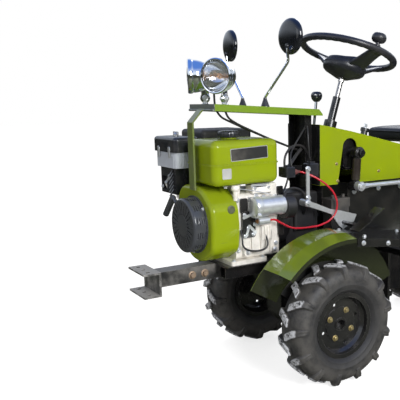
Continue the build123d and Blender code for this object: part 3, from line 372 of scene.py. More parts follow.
def lathe(bm, profile, place, steps=48, ring=False):
    """Turns a profile of (radius, along) about place's Z. A ring's profile closes on itself."""
    loops = []
    for radius, along in profile:
        points = circle(radius, steps if radius > 1e-6 else 1)
        loops.append([bm.verts.new(place @ Vector((*point, along))) for point in points])
    if ring:
        loops.append(loops[0])
    for low, high in zip(loops, loops[1:]):
        for n in range(steps):
            m = (n + 1) % steps
            around = (low[n % len(low)], low[m % len(low)], high[m % len(high)], high[n % len(high)])
            bm.faces.new(list(dict.fromkeys(around)))


def rubber_finish():
    made = bpy.data.materials.new("tyre_rubber")
    tree = new_tree(made)
    split = node(tree, "SeparateXYZ", Vector=node(tree, "TexCoord").outputs["Object"]).outputs
    wheel_plane = node(tree, "CombineXYZ", Y=split["Y"], Z=split["Z"])
    radius = node(tree, "VectorMath", {"operation": "LENGTH"}, _0=wheel_plane).outputs["Value"]
    clouds = noise(tree, 22.0, 8, Roughness=0.7)
    fine = noise(tree, 90.0, 6, Roughness=0.7)
    base = mix(tree, clouds, (0.014, 0.014, 0.016, 1), (0.045, 0.044, 0.043, 1))
    side_dust = calculate(tree, "MULTIPLY", ramp(tree, radius, 0.115, 0.18), 0.55)
    side_dust = calculate(tree, "MULTIPLY", side_dust, ramp(tree, clouds, 0.3, 0.62))
    base = mix(tree, side_dust, base, (0.12, 0.112, 0.1, 1))
    tread = calculate(tree, "MULTIPLY", ramp(tree, radius, 0.2045, 0.2095), ramp(tree, fine, 0.4, 0.52))
    base = mix(tree, calculate(tree, "MULTIPLY", tread, 0.9), base, (0.6, 0.61, 0.64, 1))
    rough = calculate(tree, "ADD", calculate(tree, "MULTIPLY", clouds, 0.3), 0.42)
    rubber_bump = node(tree, "Bump", Strength=0.5, Distance=0.0006, Height=fine)
    node(tree, "OutputMaterial", Surface=node(
        tree, "BsdfPrincipled", Base_Color=base, Roughness=rough, Normal=rubber_bump,
        Specular_IOR_Level=0.4,
    ))
    return made


tyre_radius = 0.213
lug_count = 13
lug_stations = (  # across, along, width, base (x, r), top (x, r), valley in the top
    (-0.0144, 0.026, (-0.005, 0.192), (-0.005, 0.2128), 0),
    (-0.0048, 0.026, (0.010, 0.192), (0.010, 0.2128), 0),
    (0.0060, 0.026, (0.028, 0.190), (0.028, 0.2124), 0),
    (0.0130, 0.026, (0.042, 0.187), (0.046, 0.2105), 0.0004),
    (0.0156, 0.0245, (0.050, 0.182), (0.0565, 0.2035), 0.0016),
    (0.0162, 0.023, (0.055, 0.175), (0.0632, 0.1915), 0.0028),
    (0.0164, 0.021, (0.058, 0.168), (0.0658, 0.1775), 0.0028),
    (0.0164, 0.019, (0.059, 0.160), (0.0652, 0.1660), 0.0016),
)
tyre_half_profile = (  # radius, along
    (0.1016, 0.036), (0.1085, 0.0405), (0.1145, 0.0432), (0.1165, 0.0462), (0.1195, 0.0508),
    (0.1250, 0.0552), (0.1262, 0.0566), (0.1284, 0.0578), (0.1294, 0.0576), (0.1330, 0.0592),
    (0.1420, 0.0618), (0.1440, 0.0630), (0.1462, 0.0632), (0.1480, 0.0624), (0.1580, 0.0632),
    (0.1690, 0.0622), (0.1790, 0.0590), (0.1870, 0.0540), (0.1930, 0.0470), (0.1972, 0.0360),
    (0.1990, 0.0200), (0.1996, 0.0),
)
tyre_inside = (
    (0.1016, -0.030), (0.13, -0.045), (0.18, -0.04), (0.188, 0), (0.18, 0.04), (0.13, 0.045),
    (0.1016, 0.030),
)


def lug_rows(hand):
    """Corner points of the bar's cross sections, from the tread's middle to the sidewall."""
    rows = []
    for middle, width, base, top, valley in lug_stations:
        half = width / 2
        groove = 1 - valley / max(0.004, dist(base, top))
        row = []
        for side, rise in (
            (-half - 0.004, 0), (-half, 0.86), (-half + 0.0022, 1), (-half * 0.42, 1), (0, groove),
            (half * 0.42, 1), (half - 0.0022, 1), (half, 0.86), (half + 0.004, 0),
        ):
            x = base[0] + (top[0] - base[0]) * rise
            radius = base[1] + (top[1] - base[1]) * rise
            angle = (middle + side) / tyre_radius
            row.append(Vector((hand * x, radius * sin(angle), radius * cos(angle))))
        rows.append(row)
    return rows


def make_tyre_mesh():
    other_half = [(radius, -along) for radius, along in tyre_half_profile[-2::-1]]
    bm = bmesh.new()
    lathe(bm, (*tyre_half_profile, *other_half, *tyre_inside), spin(pi / 2, "Y"), lug_count * 12, ring=True)
    lug_corner = 0.0274
    to_ground = pi - atan2(lug_corner, sqrt(tyre_radius**2 - lug_corner**2))
    for hand, shift in ((1, 0), (-1, 0.5)):
        for n in range(lug_count):
            turned = spin(to_ground + (n + shift) * 2 * pi / lug_count, "X")
            skin(bm, [[bm.verts.new(turned @ point) for point in row] for row in lug_rows(hand)])
    return make_mesh("tyre", bm, 40)


tyre_rubber = rubber_finish()
tyre_mesh = make_tyre_mesh()
half_track = 0.2735
wheels = [(end, side, hand) for end in wheel_y for side, hand in (("left", 1), ("right", -1))]
for end, side, hand in wheels:
    middle = at(hand * half_track, wheel_y[end], tyre_radius) @ spin(pi * (1 - hand) / 2)
    name = f"tyre_tread_{end}_{side}"
    tyre = add_piece(name, tyre_mesh.copy(), tyre_rubber, f"wheel_{end}_{side}", place=middle)
    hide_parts(f"tyre_{end}_{side}")
rim_paint = finish(
    "rim_black_paint", (0.012, 0.012, 0.013), 0.22, 600, dust=0.07, wear=0.9,
    worn=(0.22, 0.21, 0.2), Coat_Weight=0.4, Coat_Roughness=0.15,
)
dress([f"rim_{end}_{side}" for end, side, _ in wheels], rim_paint)


# Wheel bolts: four yellow-passivated screws hold each disc to its hub. All bolts have a hexagon
# head over a washer, and no two in a row stand at the same turn.
def bolt(bm, place, across, turn=0.0, washer=True):
    """A hexagon head standing on place's XY plane."""
    base = 0.0
    if washer:
        base = across * 0.13
        rim = across * 0.85
        lathe(bm, ((0, 0), (rim, 0), (rim, base * 0.8), (rim * 0.93, base), (0, base)), place, 20)
    corner = across / sqrt(3)
    top = base + across * 0.6
    head = ((0, base), (corner, base), (corner, top - across * 0.07), (across * 0.48, top), (0, top))
    lathe(bm, head, place @ spin(turn), 6)


def facing(point, direction):
    """A place whose Z points that way."""
    return Matrix.Translation(point) @ Vector(direction).to_track_quat("Z", "Y").to_matrix().to_4x4()


def same_way(direction, points):
    return [(point, direction) for point in points]


def bolts(name, material, spots, across, body="front_half"):
    """One piece of several like bolts: spots are (point, direction)."""
    bm = bmesh.new()
    turn_step = 2.4
    for n, (point, direction) in enumerate(spots):
        bolt(bm, facing(point, direction), across, n * turn_step)
    return add_mesh(name, bm, material, body, sharp=30)


yellow_zinc = finish(
    "yellow_zinc", (0.62, 0.5, 0.24), 0.34, spread=0.4, slot="zinc_plate", Metallic=0.8
)
bolt_circle = 0.051
disc_x = half_track + 0.023
for end, side, hand in wheels:
    points = [
        (hand * disc_x, wheel_y[end] + y, tyre_radius + z) for y, z in circle(bolt_circle, 4, 62.5)
    ]
    spots = same_way((hand, 0, 0), points)
    bolts(f"wheel_bolts_{end}_{side}", yellow_zinc, spots, 0.0125, f"wheel_{end}_{side}")

# Engine castings: raw aluminium crankcase, cylinder and foot under plated bolts, with a black cast
# drive housing behind, and moulded covers.
# The castings' dark brown dust patches and their mottle are dust and also painted shade for the casting's
# deep gaps; they lie at random over the surface.
cast_metal = finish(
    "cast_aluminium", (0.98, 0.94, 0.87), 0.4, 900, 0.0004, spread=0.25, dust=0.2,
    dust_and_painted_light_colour=(0.2, 0.17, 0.13, 1), upward=0.2, patch=38, slot="cast_metal", Metallic=0.05,
)
dress(("crankcase", "cylinder"), cast_metal)
gear_black = finish(
    "cast_iron_black", (0.012, 0.012, 0.014), 0.42, 300, 0.0006, dust=0.08, wear=0.6,
    worn=(0.12, 0.12, 0.12),
)
dress(("gearbox",), gear_black)
black_plastic = finish(
    "moulded_black_plastic", (0.02, 0.022, 0.028), 0.22, 900, dust=0.1, patch=20,
    slot="black_plastic",
)
dress(("air_cleaner_cover", "carburettor"), black_plastic)
# Recoil cap: its light-grey edges are wear and also painted highlights along its slats.
recoil_plastic = finish(
    "recoil_cap_plastic", (0.055, 0.06, 0.07), 0.18, 900, dust=0.08, wear=0.9,
    worn=(0.2, 0.21, 0.23),
)
dress(("recoil_starter",), recoil_plastic)
zinc = finish(
    "bright_zinc", (0.78, 0.8, 0.82), 0.28, 300, spread=0.3, dust=0.08, patch=60,
    slot="zinc_plate", Metallic=0.6,
)
to_left = (1, 0, 0)
to_front = (0, -1, 0)
to_rear = (0, 1, 0)
to_sky = (0, 0, 1)
to_floor = (0, 0, -1)
case_side = 0.1
crank_height = 0.558
case_bolts = same_way(to_left, [
    (case_side, -0.578, 0.64), (case_side, -0.578, 0.47), (case_side, -0.43, 0.478),
    (case_side, -0.43, 0.64), (case_side, -0.505, 0.648), (0.116, -0.55, 0.464), (0.11, -0.44, 0.46),
])
case_bolts += same_way(to_sky, [(x, y, 0.438) for x in (-0.106, 0.106) for y in (-0.6, -0.488)])
drive_ring = [(x, -0.422, crank_height + z) for x, z in circle(0.096, 8, 22.5)]
bolts("crankcase_bolts", zinc, case_bolts + same_way(to_rear, drive_ring), 0.01)


# Breather block and oil filler: small castings between the tank and the crankcase, screwed on.
def prism(bm, outline, place, low, high, inset=0.0):
    """A plate with that outline between two heights on place's Z, its top edge bevelled by inset."""
    centre = sum((Vector(point) for point in outline), Vector((0, 0))) / len(outline)
    levels = [(low, 0), (high - inset, 0), (high, inset)]
    if not inset:
        levels.pop()
    rings = []
    for height, shrink in levels:
        ring = []
        for point in outline:
            away = Vector(point) - centre
            away -= away.normalized() * shrink
            ring.append(bm.verts.new(place @ Vector((*(centre + away), height))))
        rings.append(ring)
    skin(bm, rings)


def rounded(width, height, corner, steps=5):
    """Points round a rectangle with round corners."""
    points = []
    for n, (sx, sy) in enumerate(((1, 1), (-1, 1), (-1, -1), (1, -1))):
        for step in range(steps + 1):
            angle = pi / 2 * (n + step / steps)
            points.append((
                sx * (width / 2 - corner) + corner * cos(angle),
                sy * (height / 2 - corner) + corner * sin(angle),
            ))
    return points


def plate(bm, width, height, corner, place, low, high, inset=0.0):
    """A flat bar or block with round corners."""
    prism(bm, rounded(width, height, corner), place, low, high, inset)


bm = bmesh.new()
for x, y, z, width, depth, height in (
    (0.085, -0.487, 0.672, 0.05, 0.075, 0.026),
    (0.092, -0.44, 0.668, 0.03, 0.028, 0.04),
    (0.101, -0.47, 0.52, 0.012, 0.05, 0.05),
):
    plate(bm, width, depth, 0.006, at(x, y, z), -height / 2, height / 2, 0.003)
for y in (-0.49, -0.479, -0.468, -0.457):
    plate(bm, 0.008, 0.004, 0.001, at(0.107, y, 0.52), -0.022, 0.022)
oil_filler = (
    (0, 0), (0.008, 0), (0.008, 0.03), (0.013, 0.034), (0.0145, 0.038), (0.0145, 0.046),
    (0.012, 0.05), (0, 0.051),
)
lathe(bm, oil_filler, at(case_side, -0.584, 0.64), 24)
add_mesh("breather_castings", bm, cast_metal)
bolts("breather_bolts", zinc, same_way(to_left, (
    (0.108, -0.515, 0.676), (0.108, -0.462, 0.676), (0.107, -0.525, 0.59), (0.107, -0.55, 0.522),
)), 0.009)


# Governor: a zinc arm, its thin rod and a wound return spring under the tank.
def rod(name, points, radius, material):
    """A bent bar, hose or wire through points, on the front half."""
    curve = bpy.data.curves.new(name, "CURVE")
    curve.dimensions = "3D"
    curve.bevel_depth = radius
    curve.bevel_resolution = 4
    curve.use_fill_caps = True
    spline = curve.splines.new("NURBS")
    spline.points.add(len(points) - 1)
    for spot, point in zip(spline.points, points):
        spot.co = (*point, 1)
    spline.order_u = 3
    spline.use_endpoint_u = True
    spline.resolution_u = 8
    return add_piece(name, curve, material)


bm = bmesh.new()
plate(bm, 0.012, 0.07, 0.006, facing((0.111, -0.47, 0.62), to_left) @ spin(0.5), 0, 0.003)
plate(bm, 0.06, 0.011, 0.005, facing((0.108, -0.5, 0.684), to_left), 0, 0.002)
add_mesh("governor_arm", bm, zinc)
rod("governor_rod", [(0.114, -0.455, 0.65), (0.112, -0.5, 0.668), (0.104, -0.6, 0.682)], 0.0014, zinc)
coil_radius = 0.004
coil_turn = 1.05
coil_rise = 0.0009
coil = []
for n in range(60):
    x, z = coil_radius * cos(n * coil_turn), coil_radius * sin(n * coil_turn)
    coil.append((0.112 + x, -0.46 - n * coil_rise, 0.604 + z))
rod("governor_spring", coil, 0.0008, zinc)

# Linkage plate: a folded black bracket beside the fan housing carries the throttle's small zinc
# levers, each on its own pivot bolt.
bm = bmesh.new()
plate(bm, 0.05, 0.088, 0.008, facing((case_side, -0.541, 0.556), to_left), 0, 0.011)
plate(bm, 0.028, 0.05, 0.006, facing((case_side, -0.556, 0.62), to_left), 0, 0.006)
plate(bm, 0.02, 0.17, 0.003, facing((case_side, -0.411, 0.59), to_left), -0.002, 0.006)
add_mesh("linkage_plate", bm, black_paint)
bm = bmesh.new()
for y, z, turn, length in (
    (-0.55, 0.585, 0.3, 0.034), (-0.53, 0.54, -0.8, 0.042), (-0.552, 0.528, 1.2, 0.03),
):
    plate(bm, length, 0.009, 0.004, facing((0.113, y, z), to_left) @ spin(turn), 0, 0.0025)
for y, z in (
    (-0.558, 0.59), (-0.524, 0.584), (-0.52, 0.556), (-0.545, 0.545), (-0.526, 0.522), (-0.558, 0.518),
):
    bolt(bm, facing((0.1125, y, z), to_left), 0.008, y * 50)
add_mesh("throttle_linkage", bm, zinc, sharp=30)

# Starter: zinc-plated motor with a pressed nose and a screwed end cap, and its solenoid with a
# copper terminal at each end.
dress(("starter_motor",), zinc)
starter_axis = facing((0.132, -0.538, 0.616), to_rear)
bm = bmesh.new()
nose = (
    (0, -0.0015), (0.030, -0.0015), (0.0355, 0.002), (0.0365, 0.006), (0.0365, 0.02),
    (0.0345, 0.0235), (0, 0.0235),
)
lathe(bm, nose, starter_axis)
for angle in (0.7, 3.84):
    ear = starter_axis @ spin(angle) @ at(0.036, 0, 0)
    lathe(bm, ((0, 0), (0.009, 0), (0.009, 0.012), (0, 0.012)), ear, 20)
add_mesh("starter_nose", bm, zinc)
bm = bmesh.new()
for angle in (0.4, 2.5, 4.6):
    bolt(bm, starter_axis @ spin(angle) @ at(0.0255, 0, 0.116), 0.007)
band = ((0.0318, 0.104), (0.033, 0.105), (0.033, 0.1145), (0.0318, 0.1155))
lathe(bm, band, starter_axis, ring=True)
add_mesh("starter_end", bm, zinc)
copper = finish(
    "copper_terminal", (0.72, 0.35, 0.17), 0.3, 400, spread=0.4, dust=0.2, slot="zinc_plate",
    Metallic=1.0,
)
bolts("starter_terminal", copper, [
    ((0.128, -0.4755, 0.567), to_rear), ((0.128, -0.5185, 0.567), to_front),
], 0.009)

# Hoses and leads along the near side: rubber and woven sleeving over copper wire, clipped under
# the starter and gathered at the rear post.
black_cable = finish(
    "black_cable_sheath", (0.016, 0.016, 0.018), 0.38, 500, 0.00005, dust=0.1, slot="black_cable"
)
dress(("lamp_cable_left", "lamp_cable_right"), black_cable)
red_cable = finish("red_cable_sheath", (0.6, 0.012, 0.03), 0.24, 500, 0.00005, dust=0.05)
dress(("starter_cable",), red_cable)
for name, radius, points in (
    ("oil_sensor_lead", 0.0032, (
        (0.106, -0.57, 0.54), (0.118, -0.572, 0.515), (0.122, -0.574, 0.485), (0.122, -0.545, 0.468),
        (0.121, -0.5, 0.464), (0.119, -0.474, 0.472), (0.112, -0.47, 0.5), (0.104, -0.48, 0.52),
    )),
    ("starter_lead", 0.0045, (
        (0.15, -0.43, 0.634), (0.136, -0.41, 0.662), (0.12, -0.37, 0.668), (0.116, -0.33, 0.655),
        (0.112, -0.308, 0.62), (0.1, -0.3, 0.58), (0.07, -0.29, 0.56),
    )),
    ("relay_lead", 0.004, (
        (0.082, -0.375, 0.725), (0.086, -0.385, 0.76), (0.07, -0.35, 0.8), (0.056, -0.3, 0.81),
        (0.052, -0.262, 0.79), (0.05, -0.244, 0.75),
    )),
    ("relay_lead_low", 0.0035, (
        (0.078, -0.36, 0.7), (0.08, -0.37, 0.67), (0.1, -0.4, 0.65), (0.104, -0.43, 0.62),
    )),
    ("switch_lead", 0.003, (
        (0.03, -0.25, 0.9), (0.06, -0.262, 0.86), (0.072, -0.268, 0.81), (0.07, -0.262, 0.76),
    )),
    ("coil_lead", 0.003, (
        (0.045, -0.262, 0.87), (0.058, -0.3, 0.83), (0.07, -0.34, 0.79), (0.09, -0.36, 0.76),
        (0.094, -0.355, 0.735),
    )),
    ("post_loom", 0.006, (
        (0.036, -0.262, 0.8), (0.05, -0.3, 0.78), (0.07, -0.335, 0.752), (0.078, -0.36, 0.736),
    )),
):
    rod(name, points, radius, black_cable)


# Relays: two moulded black blocks screwed to the rear post. The red cable ends on the nearer one
# under a red-brown rubber boot.
def turned_piece(name, profile, axis, steps, material, **more):
    """A piece turned from one profile, about the axis's Z."""
    bm = bmesh.new()
    lathe(bm, profile, axis, steps)
    return add_mesh(name, bm, material, **more)


bm = bmesh.new()
for y, width, depth, height in ((-0.262, 0.044, 0.04, 0.05), (-0.361, 0.041, 0.039, 0.036)):
    top = height / 2
    plate(bm, width, depth, 0.004, at(0.078, y, 0.717), -top, top, 0.003)
    plate(bm, width * 0.6, depth * 0.6, 0.004, at(0.078, y, 0.717), top, top + 0.006, 0.002)
add_mesh("relay_covers", bm, black_plastic)
boot_rubber = finish(
    "boot_rubber", (0.16, 0.03, 0.03), 0.5, 600, 0.0002, dust=0.2, slot="red_cable"
)
boot = (
    (0, 0), (0.0095, 0), (0.0105, 0.004), (0.0095, 0.012), (0.006, 0.02), (0.004, 0.03), (0, 0.03),
)
turned_piece("relay_boot", boot, facing((0.084, -0.344, 0.716), to_rear), 24, boot_rubber)

# Clutch linkage in front of the console: an upright zinc strap, a pivot and the bell crank, cut
# from plate. The pedals are painted black.
dress(("pedal_left", "pedal_right"), black_paint)
bm = bmesh.new()
plate(bm, 0.014, 0.125, 0.006, facing((0.098, -0.292, 0.672), to_left), 0, 0.004)
crank_x = 0.119
bell_crank = (  # y, z
    (-0.318, 0.6), (-0.205, 0.558), (-0.17, 0.512), (-0.15, 0.497), (-0.1, 0.52),
    (-0.088, 0.545), (-0.165, 0.567), (-0.21, 0.577), (-0.31, 0.618),
)
prism(bm, bell_crank, facing((crank_x, 0, 0), to_left), 0, 0.004)
pivot = ((0, -0.03), (0.013, -0.03), (0.013, 0.008), (0.011, 0.01), (0, 0.01))
lathe(bm, pivot, facing((crank_x, -0.31, 0.608), to_left), 24)
add_mesh("clutch_linkage", bm, zinc)
bolts("linkage_bolts", zinc, same_way(to_left, (
    (crank_x + 0.01, -0.31, 0.608), (crank_x + 0.004, -0.15, 0.515), (0.102, -0.292, 0.724),
    (0.102, -0.292, 0.622),
)), 0.012)

# Fan housing and recoil cap: a rubber plug and a blank paper label on the pressed housing, and
# three screws round the moulded cap.
plug_rubber = finish("plug_rubber", (0.1, 0.115, 0.05), 0.4, 600, dust=0.3, slot="black_plastic")
plug = ((0, 0), (0.0135, 0), (0.0138, 0.003), (0.0105, 0.0048), (0.0095, 0.0036), (0, 0.003))
turned_piece("housing_plug", plug, facing((0.118, -0.612, 0.615), to_left), 32, plug_rubber)
label = finish(
    "blank_label", (0.6, 0.61, 0.6), 0.35, 500, 0.00004, spread=0.35, dust=0.35,
    slot="grey_plastic",
)
dark_label = finish(
    "blank_dark_label", (0.03, 0.03, 0.03), 0.3, 500, 0.00004, spread=0.4, dust=0.3,
    slot="grey_plastic",
)
for name, point, width, height, paper in (
    ("housing_label", (0.122, -0.643, 0.528), 0.03, 0.038, dark_label),
    ("tank_label", (0.115, -0.621, 0.731), 0.033, 0.034, label),
):
    bm = bmesh.new()
    plate(bm, width, height, 0.004, facing(point, to_left), 0, 0.0006)
    add_mesh(name, bm, paper)
screw_circle = 0.094
cap_screws = []
for degrees in (40, 150, 265):
    x, z = screw_circle * cos(radians(degrees)), screw_circle * sin(radians(degrees))
    cap_screws.append((x, -0.689, crank_height + z))
bolts("recoil_screws", zinc, same_way(to_front, cap_screws), 0.008)

# Tank fittings: a black moulded cap ribbed for the fingers, and a blank black plate in a bright
# frame on the near side. Bolts hold the tank from below.
bm = bmesh.new()
grips = 28
grip_depth = 0.0012
cap_middle = Vector((0.01, -0.555, 0.837))
lathe(bm, (
    (0, 0.006), (0.0345, 0.006), (0.0357, 0.008), (0.0357, 0.02), (0.034, 0.0245), (0.029, 0.027),
    (0.012, 0.0285), (0, 0.0285),
), at(*cap_middle), grips * 4)
for vert in bm.verts:
    side = Vector((vert.co.x - cap_middle.x, vert.co.y - cap_middle.y, 0))
    if side.length > 0.034:
        grip = 0.5 + 0.5 * cos(grips * atan2(side.y, side.x))
        vert.co += side.normalized() * (grip_depth * grip)
add_mesh("tank_cap", bm, black_plastic)
plate_place = facing((0.115, -0.536, 0.793), to_left) @ spin(0.05)
for name, width, height, top, slot, material in (
    ("tank_plate_frame", 0.14, 0.041, 0.0009, "zinc_plate", zinc),
    ("tank_plate", 0.136, 0.037, 0.0014, "black_plastic", dark_label),
):
    bm = bmesh.new()
    plate(bm, width, height, 0.003, plate_place, 0, top)
    add_mesh(name, bm, material, slot=slot)
bolts("tank_bolts", zinc, same_way(to_floor, ((0.1, -0.62, 0.69), (0.1, -0.46, 0.69))), 0.01)

# Air cleaner: a ribbed grey body under a black lid with breathing slots, both moulded, closed by
# a wing nut and two spring clips.
grey_plastic = finish(
    "moulded_grey_plastic", (0.6, 0.64, 0.7), 0.3, 700, dust=0.08, slot="grey_plastic"
)
dress(("air_cleaner_box",), grey_plastic)
cleaner_x = -0.196
cleaner_y = -0.653
bm = bmesh.new()
body_outline = [Vector(point) for point in rounded(0.168, 0.086, 0.014, 8)]
ribbed = []
rib_pitch = 0.0066
for first, second in zip(body_outline, body_outline[1:] + body_outline[:1]):
    run = second - first
    outward = Vector((run.y, -run.x)).normalized()
    count = max(1, round(run.length / rib_pitch))
    for n in range(count):
        for share, proud in ((0, 0.0003), (0.35, 0.0003), (0.45, 0.002), (0.85, 0.002)):
            if count > 1 or share == 0:
                ribbed.append(first + run * ((n + share) / count) + outward * proud)
prism(bm, ribbed, at(cleaner_x, cleaner_y, 0), 0.7365, 0.7885)
add_mesh("air_cleaner_ribs", bm, grey_plastic)
bm = bmesh.new()
for x in (-0.24, -0.15):
    plate(bm, 0.016, 0.04, 0.004, facing((x, -0.7005, 0.789), to_front), 0, 0.003, 0.001)
wing_hub = ((0, 0), (0.009, 0), (0.009, 0.008), (0.005, 0.013), (0, 0.013))
lathe(bm, wing_hub, at(cleaner_x, cleaner_y, 0.842), 20)
for hand in (-1, 1):
    wing = at(cleaner_x + hand * 0.012, cleaner_y, 0.851)
    plate(bm, 0.018, 0.004, 0.0018, wing, -0.005, 0.008, 0.001)
add_mesh("air_cleaner_clips", bm, zinc)
bm = bmesh.new()
slot_pitch = 0.009
front_slots = same_way(to_front, [(-0.232 + n * slot_pitch, -0.702, 0.815) for n in range(9)])
side_slots = same_way(to_left, [(-0.104, -0.682 + n * slot_pitch, 0.815) for n in range(6)])
for point, direction in front_slots + side_slots:
    plate(bm, 0.005, 0.02, 0.002, facing(point, direction), -0.003, 0.001)
add_mesh("lid_slots", bm, black_plastic)

# Carburettor: a cast bowl behind a moulded louvred guard, with the throttle lever and the choke
# outside.
bm = bmesh.new()
for n in range(6):
    slat = facing((-0.17, -0.682, 0.652 + n * 0.014), (0, -1, 0.7))
    plate(bm, 0.007, 0.046, 0.001, slat, 0, 0.004)
for n in range(5):
    slat = facing((-0.144, -0.65, 0.655 + n * 0.016), (1, 0, 0.7))
    plate(bm, 0.008, 0.05, 0.001, slat, 0, 0.004)
add_mesh("carburettor_louvres", bm, black_plastic)
bm = bmesh.new()
bowl = ((0, -0.03), (0.006, -0.031), (0.018, -0.026), (0.022, -0.02), (0.023, 0.001), (0, 0.001))
lathe(bm, bowl, at(-0.21, -0.63, 0.641), 32)
choke = ((0, 0), (0.012, 0), (0.014, 0.012), (0.008, 0.016), (0, 0.016))
lathe(bm, choke, facing((-0.235, -0.666, 0.672), to_front), 24)
add_mesh("carburettor_bowl", bm, cast_metal)
bm = bmesh.new()
for point, length, turn in (((-0.205, -0.686, 0.69), 0.05, 0.6), ((-0.25, -0.672, 0.665), 0.034, -0.9)):
    plate(bm, length, 0.009, 0.004, facing(point, to_front) @ spin(turn), 0, 0.002)
for x, z in ((-0.19, 0.704), (-0.222, 0.678), (-0.252, 0.662)):
    bolt(bm, facing((x, -0.686, z), to_front), 0.008)
add_mesh("throttle_levers", bm, zinc)
fuel_way = ((-0.06, -0.6, 0.69), (-0.07, -0.62, 0.665), (-0.12, -0.66, 0.655), (-0.17, -0.668, 0.65))
rod("fuel_hose", fuel_way, 0.004, black_cable)

# Muffler and cylinder head: a heat-blackened sheet box with its outlet turned to the rear, and
# beside it the head's bolts and the spark plug under its cap and lead.
muffler_black = finish(
    "muffler_black", (0.02, 0.02, 0.022), 0.5, 400, 0.0003, dust=0.25, wear=0.5, slot="cast_metal"
)
dress(("muffler",), muffler_black)
bm = bmesh.new()
pipe = ((0.012, 0), (0.015, 0), (0.015, 0.03), (0.016, 0.032), (0.013, 0.032), (0.012, 0.02))
lathe(bm, pipe, facing((-0.25, -0.392, 0.74), to_rear), 32, ring=True)
add_mesh("muffler_outlet", bm, muffler_black)
lean = radians(25)
head_way = Vector((-cos(lean), 0, sin(lean)))
head_up = Vector((sin(lean), 0, cos(lean)))
head_face = Vector((0, -0.516, crank_height)) + head_way * 0.244
head_corners = [
    head_face + head_up * up + Vector((0, y, 0)) for up in (-0.038, 0.038) for y in (-0.042, 0.042)
]
bolts("head_bolts", zinc, same_way(head_way, head_corners), 0.013)
cap = ((0, 0), (0.007, 0), (0.007, 0.012), (0.01, 0.014), (0.01, 0.03), (0.006, 0.036), (0, 0.036))
cap_foot = head_face - head_up * 0.004
turned_piece("spark_plug_cap", cap, facing(cap_foot, head_way), 20, black_plastic)
plug_end = cap_foot + head_way * 0.034
rod("spark_plug_lead", [
    plug_end, plug_end + Vector((-0.012, -0.01, -0.012)), plug_end + Vector((0.0, -0.04, -0.05)),
    (-0.15, -0.585, 0.6), (-0.11, -0.59, 0.6),
], 0.0035, black_cable)

# Headlamps: chromed bullet shells spun from sheet, with a fluted lens over a bowl and bulb, each
# on a bolted ear. The bulb's bright amber is a painted glint. The cable leaves through a rubber gland.
chrome = finish(
    "chrome_plate", (0.86, 0.88, 0.9), 0.04, 200, 0.00003, spread=0.1, dust=0.03, slot="chrome",
    Metallic=1.0,
)


def lens_finish():
    made = bpy.data.materials.new("fluted_glass")
    tree = new_tree(made)
    place = node(tree, "TexCoord").outputs["Object"]
    flutes = node(tree, "TexWave", {"wave_profile": "SIN"}, Vector=place, Scale=62.0, Distortion=0.6)
    pads = node(tree, "TexVoronoi", Vector=place, Scale=110.0).outputs[0]
    height = calculate(tree, "MULTIPLY", flutes.outputs["Fac"], 0.6)
    height = calculate(tree, "ADD", height, pads)
    glass_bump = node(tree, "Bump", Strength=0.45, Distance=0.0012, Height=height)
    node(tree, "OutputMaterial", Surface=node(
        tree, "BsdfPrincipled", Base_Color=(0.97, 0.97, 0.97, 1), Roughness=0.03, IOR=1.3,
        Normal=glass_bump, Transmission_Weight=0.96,
    ))
    return made


fluted_glass = lens_finish()
# The bulbs' bright amber is a painted glint behind the lenses.
amber_glint = finish(
    "amber_bulb_glint", (1.0, 0.5, 0.22), 0.12, 300, 0.00005, dust=0.0, slot="red_cable"
)
shell_profile = (
    (0, 0.046), (0.012, 0.0455), (0.026, 0.036), (0.038, 0.022), (0.046, 0.008), (0.0495, -0.002),
    (0.0505, -0.0045), (0.0535, -0.0055), (0.0565, -0.003), (0.057, 0.003), (0.0555, 0.0095),
    (0.0535, 0.0115), (0.0528, 0.0135), (0.0536, 0.016), (0.0525, 0.026), (0.0495, 0.040),
    (0.0435, 0.0545), (0.0355, 0.0680), (0.0255, 0.0790), (0.0150, 0.0868), (0.0070, 0.0905),
    (0, 0.0915),
)
lens_profile = (
    (0, -0.008), (0.012, -0.0077), (0.024, -0.0068), (0.034, -0.0052), (0.042, -0.0034),
    (0.048, -0.0012), (0.0496, 0.0005), (0.047, 0.0012), (0.034, -0.0026), (0.018, -0.0052),
    (0, -0.006),
)
bulb_profile = (
    (0, 0.014), (0.005, 0.0155), (0.0085, 0.02), (0.0095, 0.026), (0.008, 0.033), (0.006, 0.037),
    (0.006, 0.046), (0, 0.046),
)
lobe_profile = (
    (0, -0.0062), (0.0145, -0.0062), (0.0165, -0.0045), (0.0165, 0.0045), (0.0145, 0.0062),
    (0, 0.0062),
)
ear_behind = 0.05
tray_front_y = -0.644
tray_front_top = 0.953
tray_fall = tan(radians(3.2))
